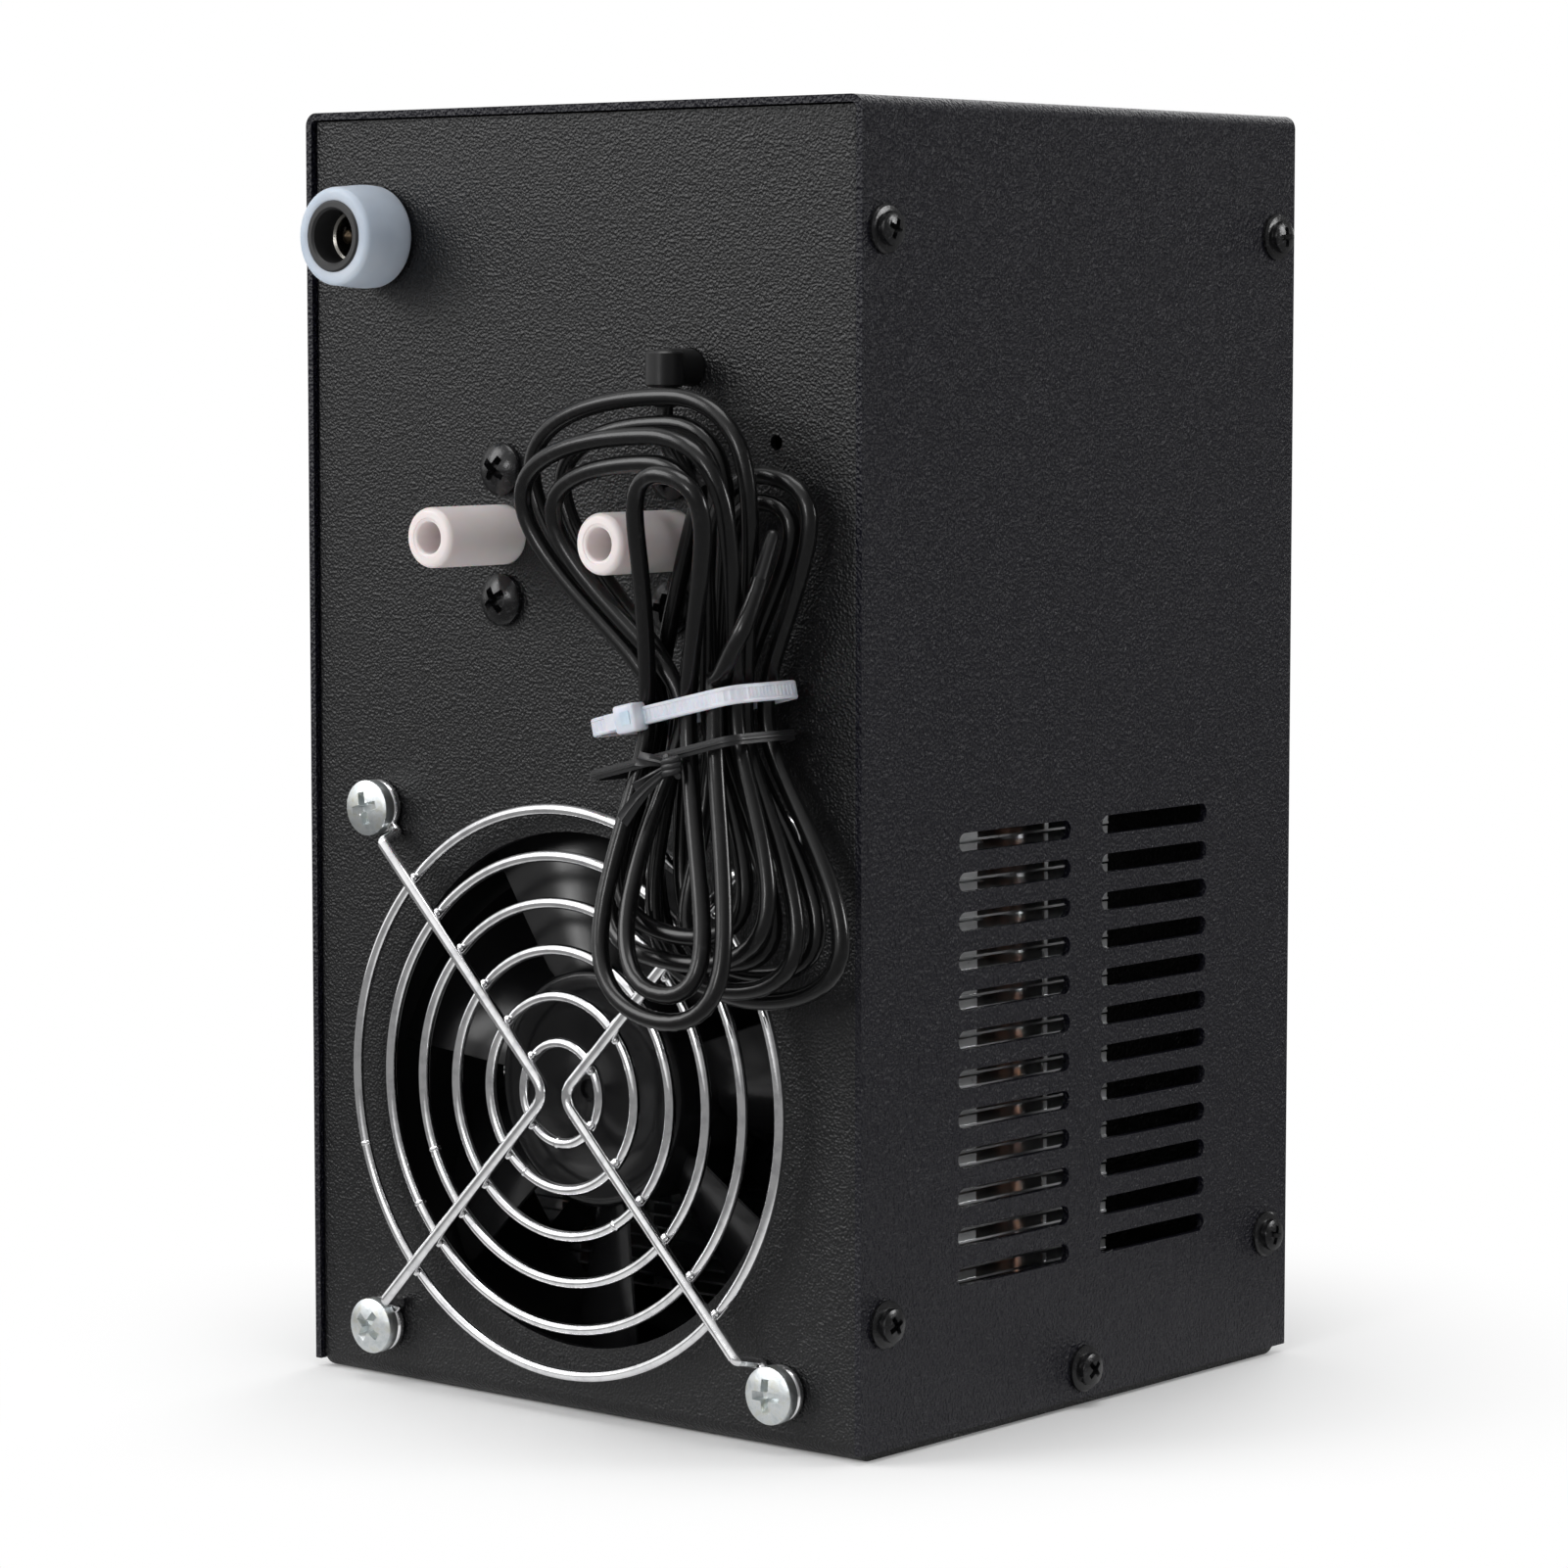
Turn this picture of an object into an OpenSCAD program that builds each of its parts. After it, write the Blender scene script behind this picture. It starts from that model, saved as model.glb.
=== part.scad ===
// Aquarium chiller: sheet metal box, fan, hose ports and a folded sensor lead.
// Millimetres, +Z up. The port and fan panel faces -Y, the slotted sides face +X and -X.

/* [Body] */
// Width across the two slotted sides
body_w = 98; // [97:0.5:104]
// Depth over the open ends of the cover
body_d = 95; // [94:0.5:100]
// Height of the box
body_h = 173.5; // [172:0.5:185]
// Sheet thickness of cover and chassis
sheet = 1; // [0.8:0.1:1.2]

/* [Vents] */
// Length of a vent slot
slot_len = 24; // [18:1:27]
// Height of a vent slot
slot_h = 2.5; // [1.5:0.1:3.5]
// Slots in one column
slot_rows = 12; // [6:1:13]

/* [Fan] */
// Edge of the square fan frame
fan_size = 80; // [79:0.5:82]
// Depth of the fan frame
fan_depth = 25; // [24:0.5:27]
// Spacing of the fan screws
fan_screw_pitch = 71.5; // [71:0.1:72]
// Wire thickness of the guard rings
guard_wire_d = 1.5; // [1.2:0.1:1.7]
// Blades on the rotor
blade_count = 7; // [5:1:9]

/* [Ports] */
// Outside diameter of the hose nozzles
nozzle_d = 8; // [7.6:0.1:8.2]
// Bore of the hose nozzles
nozzle_bore_d = 4.2; // [3.6:0.1:4.8]
// Length of a nozzle outside the panel
nozzle_len = 14.5; // [12:0.5:18]
// Spacing of the two nozzles
nozzle_pitch = 30; // [29:0.5:31]

/* [Cooling core] */
// Fins on the heat pipes
fin_count = 40; // [20:1:41]
// Outside diameter of a heat pipe
pipe_d = 6; // [5:0.1:6.4]
// Edge of the thermoelectric tile
tile_size = 40; // [38:0.5:41]

/* [Sensor lead] */
// Diameter of the sensor lead
lead_d = 2.3; // [2:0.1:2.5]

/* [Hidden] */
$fn = 48;
over = 0.5;
fit = 0.05;
loose = 0.1;

// sheet metal
cover_gap = 0.2;
cover_bend = 1.8;
cover_lift = 1.2;
panel_inset = 0.6;
chassis_bend = 2.6;
flange_w = 10;
relief = 1.2;
panel_y = body_d / 2 - panel_inset;
panel_in = panel_y - sheet;
chassis_half = body_w / 2 - sheet - cover_gap;
chassis_top = body_h - sheet - cover_gap;

// vents
slot_column = 15.5;
slot_pitch = 5.16;
slot_top_z = 78.2;

// cover screws
cs_r = 1.5;
cs_len = 5;
cs_flange_r = 3.15;
cs_flange_h = 0.7;
cs_head_r = 2.2;
cs_head_h = 1.3;
cs_dome = 0.4;
cross_w = 0.7;
cross_depth = 0.9;
cs_upper_in = 4.5;
cs_upper_drop = 16.7;
cs_lower_in = 5;
cs_lower_z = 17.6;
cs_foot_z = 5.2;
cs_upper_y = body_d / 2 - cs_upper_in;
cs_upper_z = body_h - cs_upper_drop;
cs_lower_y = body_d / 2 - cs_lower_in;
cs_places = [
    [-cs_upper_y, cs_upper_z],
    [cs_upper_y, cs_upper_z],
    [-cs_lower_y, cs_lower_z],
    [cs_lower_y, cs_lower_z],
    [0, cs_foot_z]
];

// fan and guard
fan_foot = 3.5;
fan_z = fan_foot + fan_size / 2;
fan_bore_r = 38;
fan_hole_r = 34.5;
fan_plate = 3.5;
duct_wall = 1.6;
fan_corner = 3;
boss_r = 4.2;
hub_r = 17;
hub_t = 3;
spoke_w = 3;
tube_r = 4.5;
tube_h = 12;
bearing_r = 3.2;
shaft_r = 1.5;
cup_r = 16;
cup_wall = 2;
cup_h = 18;
cup_recess = 1;
magnet_wall = 1.6;
magnet_h = 10;
stator_r = 11.8;
stator_h = 10;
stator_arm = 4;
stator_shoe = 1.6;
stator_board_t = 1;
stator_lift = 1.2;
bobbin_r = 7;
blade_tip_r = 37.3;
blade_root_r = 15.5;
blade_t = 1.3;
blade_arc_r = 42;
blade_pitch = 35;
blade_chord = 26;
blade_mid = 14;
blade_plan_shares = [[0.36, -0.22], [1.06, -0.36], [1.06, 0.4], [0.36, 0.26]];
ring_count = 6;
ring_outer_r = 37.7;
ring_step = 6.2;
ring_lift = 3.1;
rib_d = 1.7;
rib_lift = 4.5;
rib_gap = 2;
rib_joint = 0.03;
eye_r = 3;
eye_wire_r = 0.8;
leg_gap = 0.15;
leg_run = 1.6;
leg_joint = 0.02;
fs_r = 2.1;
fs_len = 12;
fs_head_r = 3.8;
fs_head_h = 2.4;
fs_dome = 1;
fs_cross_w = 0.9;
fs_cross_depth = 1.3;

// nozzles
// the ports share out the room between the fan and the top of the box
ports_room = body_h - fan_foot - fan_size;
nozzle_height_share = 0.3722;
relief_height_share = 0.6211;
nozzle_x = 2;
nozzle_z = fan_foot + fan_size + nozzle_height_share * ports_room;
nozzle_neck_step = 0.3;
nozzle_rim = 0.8;
nozzle_flange_t = 3;
nozzle_flange_r = 6.2;
nozzle_ear_r = 3.4;
nozzle_screw_dz = 8.7;
barb_r = 3.4;
barb_len = 7.4;
barb_ridge = 0.3;
ridge_len = 1.8;
ns_r = 1.45;
ns_head_r = 3.5;
ns_head_h = 2.2;
ns_dome = 1.4;
ns_len = 8;
nut_af = 5.5;
nut_h = 2.4;

// power jack
jack_side = 13.3;
jack_drop = 16.9;
jack_x = jack_side - body_w / 2;
jack_z = body_h - jack_drop;
jack_r = 4.8;
jack_len = 9.1;
jack_in = 12;
jack_bore_r = 3.6;
jack_bore_in = 3;
jack_ring_wall = 0.85;
jack_ring_back = 3.6;
jack_pin_r = 1.05;
jack_pin_back = 2.5;
jack_foot = 1;
sleeve_r = 7.15;
sleeve_len = 8.3;
sleeve_round = 0.8;
jack_nut_af = 13;
jack_nut_h = 3;

// small hole and strain relief
pin_hole_r = 1;
pin_hole_side = 14.5;
pin_hole_drop = 43.6;
pin_hole_x = body_w / 2 - pin_hole_side;
pin_hole_z = body_h - pin_hole_drop;
relief_dx = 3.1;
relief_x = nozzle_x + nozzle_pitch / 2 + relief_dx;
relief_z = fan_foot + fan_size + relief_height_share * ports_room;
relief_out = 5.1;
relief_r = 2.4;
relief_body_r = 2.5;
relief_body_top = 2.1;
relief_body_low = 2.5;
relief_neck_r = 1.7;
relief_neck_len = 2.5;
relief_flange_r = 3.6;
relief_flange_t = 1.6;

// cooling core
core_y = -3.7;
base_w = 52;
base_d = 54;
base_h = 10;
base_drop = 19.8;
base_z = nozzle_z - base_drop;
pipe_count = 2;
pipe_step = 10;
pipe_leg_x = 34;
pipe_bend = 8;
pipe_low_z = 10;
fin_t = 0.4;
fin_pitch = 1.72;
fin_low_z = 12;
fin_w = 86;
fin_d = 33.4;
fin_tab = 4.6;
fin_rib = 0.9;
fin_rib_y = 2.85;
tile_t = 3.8;
tile_shell = 0.8;
tile_inset = 1.2;
block_size = 40;
block_h = 9.6;
gasket_h = 0.8;
lid_h = 1.6;
gasket_wall = 3;
barb_bore_r = 2.1;
channel_h = 6;
foam_t = 2.3;
clamp_w = 18;
clamp_d = 54;
clamp_t = 2;
clamp_dx = 5;
clamp_dy = 24.3;
ks_r = 1.5;
ks_head_r = 2.8;
ks_head_h = 2;
ks_in = 8;
hose_wall = 1.5;
hose_play = 0.3;
clip_wall = 0.7;
clip_len = 3;
clip_ear = 1.2;
clip_in = 3;
clip_out = 9.5;
bracket_w = 56;
bracket_t = 2;
bracket_back = 31;
bracket_flange = 14;
bs_x = 22;
bs_drop = 9;

// controls
board_w = 60;
board_h = 36;
board_t = 1.6;
board_drop = 27.5;
board_z = body_h - board_drop;
board_off = 8;
post_x = 26;
post_dz = 14;
post_af = 5.5;
post_bore_r = 1.5;
bolt_head_r = 2.6;
bolt_head_h = 1.8;
bolt_in = 5;
display_w = 30;
display_h = 14;
display_t = 7;
display_rise = 6;
display_z = board_z + display_rise;
window_w = 28;
window_h = 12;
bezel_edge = 3;
bezel_t = 1.2;
lens_w = 24;
lens_h = 9;
lens_t = 0.8;
button_drop = 12;
button_z = board_z - button_drop;
button_step = 14;
button_r = 3.5;
button_hole = 0.2;
button_out = 1.5;
button_in = 2.9;
button_flange_r = 4.6;
button_flange_t = 1.4;
button_round = 0.4;
switch_size = 6;
switch_h = 3.5;
plunger_r = 1.7;
plunger_gap = 0.8;
cap_r = 5;
cap_len = 12;
cap_x = 22;
cap_rise = 9;
cap_z = board_z + cap_rise;
term_w = 37;
term_d = 9;
term_h = 10;
term_drop = 12;
term_z = board_z - term_drop;
term_poles = 7;
term_step = 5;
term_screw_r = 1.6;
chip_w = 10;
chip_h = 9;
chip_t = 4.4;
chip_tab = 6;
chip_tab_t = 1.2;
chip_hole_r = 1.8;
chip_x = -14;
chip_rise = 4;
chip_z = board_z + chip_rise;
wire_r = 0.8;
tile_wire_x = 8;
fan_wire_x = 36;
fan_wire_step = 2.4;
fan_wire_in = 2;
// wire routes, one a wire: steps out from where it starts, then steps back from its pole
jack_wire_out = [
    [[0, 0, 0], [0, 4, 0], [0.6, 10, -2], [2, 30, -6], [6, 46, -14]],
    [[0, 0, 0], [0, 4, 0], [0.6, 10, -2], [2, 30, -6], [7, 46, -14]]
];
jack_wire_end = [[-2, -8, 2], [0, -3, 0], [0, 0, 0]];
tile_wire_out = [
    [[0, 0, 0], [0, 4, 0], [0, 6, 1], [0, 8.6, 6]],
    [[0, 0, 0], [0, 4, 0], [0, 6, 1], [-2, 8.6, 6]]
];
tile_wire_end = [[0, -2.6, -10], [0, -3.4, -3], [0, -3, 0], [0, 0, 0]];
fan_wire_out = [
    [[0, 0, 0], [0, 0, 4], [-1, 0, 14], [-1, 2, 50], [0, 8, 56], [6, 26, 56], [14, 36, 54]],
    [[0, 0, 0], [0, 0, 4], [-1, 0, 14], [-1, 2, 50], [0, 8, 56], [6, 26, 56], [14, 33, 54]]
];
fan_wire_end = [
    [[-6, -8, 2], [-1, -5, 0.5], [0, -3, 0], [0, 0, 0]],
    [[-6, -11, 2], [-1, -5, 0.5], [0, -3, 0], [0, 0, 0]]
];
sensor_wire_out = [[0, 0, 0], [0, 3, 0], [0, 12, -0.5], [-1, 50, -2]];
sensor_wire_end = [[1, -10, 2], [0, -3, 0], [0, 0, 0]];

// sensor lead: the hank is folded round x, z in front of the panel
hank_x = 28.5;
hank_z = 96;
hank_off = 4.2;
hank_layer = 2.9;
hank_layers = 4;
hank_turns = 2;
hank_start = -0.25;
hank_end = 7.375;
hank_rings = 24;
hank_sides = 6;
hank_squeeze = 0.38;
hank_side_step = 4.4;
hank_side_mid = 2.15;
hank_tighten = 0.13;
hank_nest = 3.4;
hank_round = 8;
hank_climb = 0.11;
// one row a layer: reach from the waist, lean, left bulge, right bulge, stand-off
hank_top = [[32, 7, 0, 9, 4.2], [41, -3, 44, 10, 9.8], [37, -2, 45, 9, 15.6], [35, 5, 1, 8, 21.5]];
hank_low = [[37, 9, 13, 20, 7.4], [38, 7, 15, 18, 11.2], [32, 4, 18, 13, 14.6], [41, 6, 16, 9, 22]];
lead_sides = 8;
probe_d = 1.8;
// route points: x, z and stand-off from the panel
lead_route = [[20.1, 131.5, 5.1], [21.2, 128.6, 5], [23, 125.8, 4.7], [24.4, 123.4, 4.3]];
tail_route = [[36, 100.6, 13], [38, 104, 13], [39.8, 107, 12.8], [40, 109.4, 11.6], [40, 111, 10.8]];
probe_route = [[40, 113, 9.8], [40, 116, 8.4], [40, 119.2, 6.9]];
tie_w = 2.3;
tie_t = 1;
tie_tilt = 13;
tie_z = 96.2;
tie_left = 16.2;
tie_right = 40;
tie_near = 2.4;
tie_far = 14.9;
tie_round = 2;
tie_head = 3.6;
tie_head_t = 3;
tie_head_x = -4;
twist_z = 90.3;
twist_left = 16;
twist_right = 40.4;
twist_far = 15.7;
twist_w = 1.3;
twist_t = 0.7;
twist_tilt = 14;
twist_knot_r = 1.5;
twist_tails = [[24.8, 82.4, 18.6], [26.4, 90.6, 17.4], [26.2, 86.8, 17.8]];
twist_mid = [31.5, 89.6, 16.9];

function unit(v) = v / norm(v);
function tangent(p, i) = unit(p[min(i + 1, len(p) - 1)] - p[max(i - 1, 0)]);
function square_to(t) = unit(abs(t.z) < 0.7 ? cross(t, [0, 0, 1]) : cross(t, [1, 0, 0]));
function level(n, t) = unit(n - (n * t) * t);
function carried(p) = [
    for (i = 0, n = square_to(tangent(p, 0));
        i < len(p);
        i = i + 1, n = level(n, tangent(p, min(i, len(p) - 1))))
        n
];
// world point from a place on the port panel: x, z and stand-off
function off_panel(p) = [p[0], -panel_y - p[2], p[1]];
function all_off(route) = [for (p = route) off_panel(p)];

// one swept tube through the points, flat ends square to the run
module tube(p, r, sides) {
    n = carried(p);
    rings = [
        for (i = [0 : len(p) - 1], k = [0 : sides - 1])
            p[i] + r * (cos(360 * k / sides) * n[i] + sin(360 * k / sides) * cross(tangent(p, i), n[i]))
    ];
    last = (len(p) - 1) * sides;
    walls = [
        for (i = [0 : len(p) - 2], k = [0 : sides - 1])
            let (a = i * sides + k, b = i * sides + (k + 1) % sides)
                [[a, a + sides, b], [b, a + sides, b + sides]]
    ];
    caps = [for (k = [1 : sides - 2]) [[0, k, k + 1], [last, last + k + 1, last + k]]];
    polyhedron(rings, [for (pair = concat(walls, caps), face = pair) face], convexity = 8);
}

module on_rear() {
    translate([0, -panel_y, 0]) rotate([90, 0, 0]) children();
}
module on_front() {
    translate([0, panel_y, 0]) rotate([90, 0, 180]) children();
}
module on_side(s) {
    translate([s * body_w / 2, 0, 0]) rotate([90, 0, s * 90]) children();
}
module at_fan_screws() {
    for (a = [-1, 1], b = [-1, 1])
        translate([a * fan_screw_pitch / 2, b * fan_screw_pitch / 2, 0]) children();
}
module at_nozzles() {
    for (s = [-1, 1]) translate([nozzle_x + s * nozzle_pitch / 2, nozzle_z, 0]) children();
}
module at_nozzle_screws() {
    at_nozzles() for (s = [-1, 1]) translate([0, s * nozzle_screw_dz, 0]) children();
}
module at_posts() {
    for (a = [-1, 1], b = [-1, 1]) translate([a * post_x, board_z + b * post_dz, 0]) children();
}
module slot2d(l, h) {
    square([l - h, h], center = true);
    for (s = [-1, 1]) translate([s * (l - h) / 2, 0]) circle(d = h);
}
module rounded2d(w, h, r) {
    square([w - 2 * r, h], center = true);
    square([w, h - 2 * r], center = true);
    for (a = [-1, 1], b = [-1, 1]) translate([a * (w / 2 - r), b * (h / 2 - r)]) circle(r);
}
// upright outline with its two top corners rounded
module arch2d(w, h, r) {
    translate([-w / 2, 0]) square([w, h - r]);
    translate([r - w / 2, 0]) square([w - 2 * r, h]);
    for (s = [-1, 1]) translate([s * (w / 2 - r), h - r]) circle(r);
}
module hex(af, h) {
    cylinder(h = h, d = af / cos(30), $fn = 6);
}
// domed head with a cross recess, seated on z = 0
module cross_head(r, h, dome, cross_w, depth) {
    difference() {
        rotate_extrude() {
            square([r, h - dome]);
            intersection() {
                square([r, h]);
                translate([0, h - dome]) scale_dome(r, dome);
            }
        }
        for (a = [0, 90])
            rotate(a)
                translate([-r * 0.6, -cross_w / 2, h - depth])
                    cube([r * 1.2, cross_w, depth + over]);
    }
}
// cap of a big circle: r wide on each side of the axis and d high
module scale_dome(r, d) {
    big = (r * r + d * d) / (2 * d);
    translate([0, d - big]) circle(big);
}

module side_cuts(r) {
    rotate([90, 0, 90])
        linear_extrude(body_w + 2 * over, center = true)
            for (p = cs_places) translate(p) circle(r);
}

module cover() {
    color("#1c1c1e")
    difference() {
        rotate([90, 0, 0])
            linear_extrude(body_d, center = true)
                difference() {
                    translate([0, cover_lift])
                        arch2d(body_w, body_h - cover_lift, cover_bend);
                    translate([0, cover_lift - over])
                        arch2d(body_w - 2 * sheet, body_h - cover_lift - sheet + over,
                            cover_bend - sheet);
                }
        rotate([90, 0, 90])
            linear_extrude(body_w + 2 * over, center = true)
                for (s = [-1, 1], row = [0 : slot_rows - 1])
                    translate([s * slot_column, slot_top_z - row * slot_pitch])
                        slot2d(slot_len, slot_h);
        side_cuts(cs_r + loose);
    }
}

module rear_holes2d() {
    translate([0, fan_z]) {
        circle(fan_hole_r);
        at_fan_screws() circle(fs_r + loose);
    }
    at_nozzles() circle(nozzle_d / 2 + loose);
    at_nozzle_screws() circle(ns_r + loose);
    translate([jack_x, jack_z]) circle(jack_r + loose);
    translate([pin_hole_x, pin_hole_z]) circle(pin_hole_r);
    translate([relief_x, relief_z]) circle(relief_r + loose);
}

module front_holes2d() {
    translate([0, display_z]) square([window_w, window_h], center = true);
    for (k = [-1 : 1]) translate([k * button_step, button_z]) circle(button_r + button_hole);
    for (s = [-1, 1]) translate([s * bs_x, base_z - bs_drop]) circle(cs_r + fit);
}

module chassis() {
    color("#222224")
    difference() {
        union() {
            rotate([90, 0, 90])
                linear_extrude(2 * chassis_half, center = true)
                    difference() {
                        translate([0, chassis_top])
                            mirror([0, 1]) arch2d(2 * panel_y, chassis_top, chassis_bend);
                        translate([0, chassis_top + over])
                            mirror([0, 1])
                                arch2d(2 * panel_in, chassis_top - sheet + over,
                                    chassis_bend - sheet);
                    }
            for (s = [-1, 1], t = [-1, 1])
                translate([
                    s * (chassis_half - sheet / 2),
                    t * (panel_y - flange_w / 2),
                    (chassis_top + chassis_bend) / 2
                ])
                    cube([sheet, flange_w, chassis_top - chassis_bend], center = true);
            for (t = [-1, 1])
                translate([0, t * (panel_y - flange_w / 2), chassis_top - sheet / 2])
                    cube([2 * (chassis_half - sheet - relief), flange_w, sheet], center = true);
            for (s = [-1, 1])
                translate([s * (chassis_half - sheet / 2), 0, flange_w / 2])
                    cube([sheet, 2 * (panel_y - flange_w - relief), flange_w], center = true);
        }
        on_rear()
            translate([0, 0, -sheet - over]) linear_extrude(sheet + 2 * over) rear_holes2d();
        on_front()
            translate([0, 0, -sheet - over]) linear_extrude(sheet + 2 * over) front_holes2d();
        side_cuts(cs_r + fit);
    }
}

module cover_screw(l) {
    cylinder(h = cs_flange_h, r = cs_flange_r);
    translate([0, 0, cs_flange_h])
        cross_head(cs_head_r, cs_head_h, cs_dome, cross_w, cross_depth);
    translate([0, 0, -l]) cylinder(h = l, r = cs_r);
}

module cover_screws() {
    color("#151515")
    for (s = [-1, 1]) on_side(s) for (p = cs_places) translate(p) cover_screw(cs_len);
}

// straight rod between two points
module rod(a, b, r) {
    v = b - a;
    translate(a)
        rotate([0, acos(v.z / norm(v)), atan2(v.y, v.x)]) cylinder(h = norm(v), r = r);
}

// place on the diagonal at a distance d inside the screw's axis
function on_arm(a, b, d, z) =
    let (k = fan_screw_pitch / 2 - d * cos(45)) [a * k, b * k, z];

// rib wire with its cranked leg, which drops beside the screw head and runs to the eye
module guard_arm(a, b) {
    leg = fs_head_r + eye_wire_r + leg_gap;
    start = [a * rib_gap, 0, rib_lift];
    bend = on_arm(a, b, leg + leg_run, rib_lift);
    low = on_arm(a, b, leg, eye_wire_r);
    rod(start, bend, rib_d / 2);
    translate(bend) sphere(rib_d / 2 + rib_joint);
    rod(bend, low, eye_wire_r);
    translate(low) sphere(eye_wire_r + leg_joint);
    rod(low, on_arm(a, b, eye_r, eye_wire_r), eye_wire_r);
}

module fan_guard() {
    color("#c9ccd0")
    on_rear() translate([0, fan_z, 0]) {
        for (k = [0 : ring_count - 1])
            translate([0, 0, ring_lift])
                rotate_extrude() translate([ring_outer_r - k * ring_step, 0]) circle(d = guard_wire_d);
        for (a = [-1, 1]) {
            for (b = [-1, 1]) guard_arm(a, b);
            translate([a * rib_gap, 0, rib_lift]) sphere(rib_d / 2 + rib_joint);
        }
        at_fan_screws()
            translate([0, 0, eye_wire_r])
                rotate_extrude() translate([eye_r, 0]) circle(eye_wire_r);
    }
}

module fan_screws() {
    color("#bfc2c4")
    on_rear() translate([0, fan_z, 2 * eye_wire_r]) at_fan_screws() {
        cross_head(fs_head_r, fs_head_h, fs_dome, fs_cross_w, fs_cross_depth);
        translate([0, 0, -fs_len]) cylinder(h = fs_len, r = fs_r);
    }
}

// local z runs from the back of the fan to the port panel
module in_fan() {
    on_rear() translate([0, fan_z, -sheet - fan_depth]) children();
}

module fan_frame() {
    color("#202022")
    in_fan() {
        difference() {
            union() {
                for (z = [0, fan_depth - fan_plate])
                    translate([0, 0, z])
                        linear_extrude(fan_plate) rounded2d(fan_size, fan_size, fan_corner);
                cylinder(h = fan_depth, r = fan_bore_r + duct_wall);
                at_fan_screws() cylinder(h = fan_depth, r = boss_r);
            }
            translate([0, 0, -over]) {
                cylinder(h = fan_depth + 2 * over, r = fan_bore_r);
                at_fan_screws() cylinder(h = fan_depth + 2 * over, r = fs_r + fit);
            }
        }
        for (a = [45 : 90 : 315])
            rotate(a)
                translate([hub_r - over, -spoke_w / 2, 0])
                    cube([fan_bore_r - hub_r + 2 * over, spoke_w, hub_t]);
        cylinder(h = hub_t, r = hub_r);
        translate([0, 0, hub_t])
            difference() {
                cylinder(h = tube_h, r = tube_r);
                cylinder(h = tube_h + over, r = bearing_r);
            }
    }
}

module fan_bearing() {
    color("#b08d57")
    in_fan() translate([0, 0, hub_t])
        difference() {
            cylinder(h = tube_h, r = bearing_r);
            translate([0, 0, -over]) cylinder(h = tube_h + 2 * over, r = shaft_r + fit);
        }
}

module fan_stator() {
    board_z0 = hub_t + stator_lift;
    core_z0 = hub_t + (tube_h - stator_h) + stator_lift;
    color("#8a4a2a")
    in_fan()
        difference() {
            union() {
                translate([0, 0, board_z0]) cylinder(h = stator_board_t, r = stator_r);
                translate([0, 0, board_z0]) cylinder(h = core_z0 - board_z0 + stator_h, r = bobbin_r);
                translate([0, 0, core_z0])
                    intersection() {
                        cylinder(h = stator_h, r = stator_r);
                        for (a = [0, 90])
                            rotate(a)
                                linear_extrude(stator_h) {
                                    square([2 * stator_r, stator_arm], center = true);
                                    for (s = [-1, 1])
                                        translate([s * (stator_r - stator_shoe / 2), 0])
                                            square([stator_shoe, 2 * stator_arm], center = true);
                                }
                    }
            }
            cylinder(h = fan_depth, r = tube_r);
        }
}

module blade() {
    h = fan_depth;
    intersection() {
        rotate([90, 0, 90])
            linear_extrude(blade_tip_r + over)
                rotate(blade_pitch)
                    intersection() {
                        translate([0, -blade_arc_r])
                            difference() {
                                circle(blade_arc_r + blade_t / 2, $fn = 96);
                                circle(blade_arc_r - blade_t / 2, $fn = 96);
                            }
                        square([blade_chord, blade_chord], center = true);
                    }
        translate([0, 0, -h / 2])
            linear_extrude(h) polygon([for (p = blade_plan_shares) p * blade_tip_r]);
        translate([0, 0, -h / 2])
            difference() {
                cylinder(h = h, r = blade_tip_r, $fn = 96);
                translate([0, 0, -over]) cylinder(h = h + 2 * over, r = blade_root_r);
            }
    }
}

module fan_rotor() {
    front = fan_depth - cup_recess;
    color("#2b2b2e")
    in_fan() {
        difference() {
            translate([0, 0, front - cup_h]) cylinder(h = cup_h, r = cup_r);
            translate([0, 0, front - cup_h - over])
                cylinder(h = cup_h - cup_wall + over, r = cup_r - cup_wall);
            translate([0, 0, front - cup_wall / 2]) cylinder(h = cup_wall, r = shaft_r);
        }
        for (k = [0 : blade_count - 1])
            rotate(360 * k / blade_count) translate([0, 0, blade_mid]) blade();
    }
}

module fan_shaft() {
    top = fan_depth - cup_recess - cup_wall;
    color("#d0d0d0")
    in_fan() translate([0, 0, hub_t + over]) cylinder(h = top - hub_t - over, r = shaft_r);
}

module fan_magnet() {
    top = fan_depth - cup_recess - cup_wall - cup_wall;
    color("#3a3a3a")
    in_fan() translate([0, 0, top - magnet_h])
        difference() {
            cylinder(h = magnet_h, r = cup_r - cup_wall);
            translate([0, 0, -over]) cylinder(h = magnet_h + 2 * over, r = cup_r - cup_wall - magnet_wall);
        }
}

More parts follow.
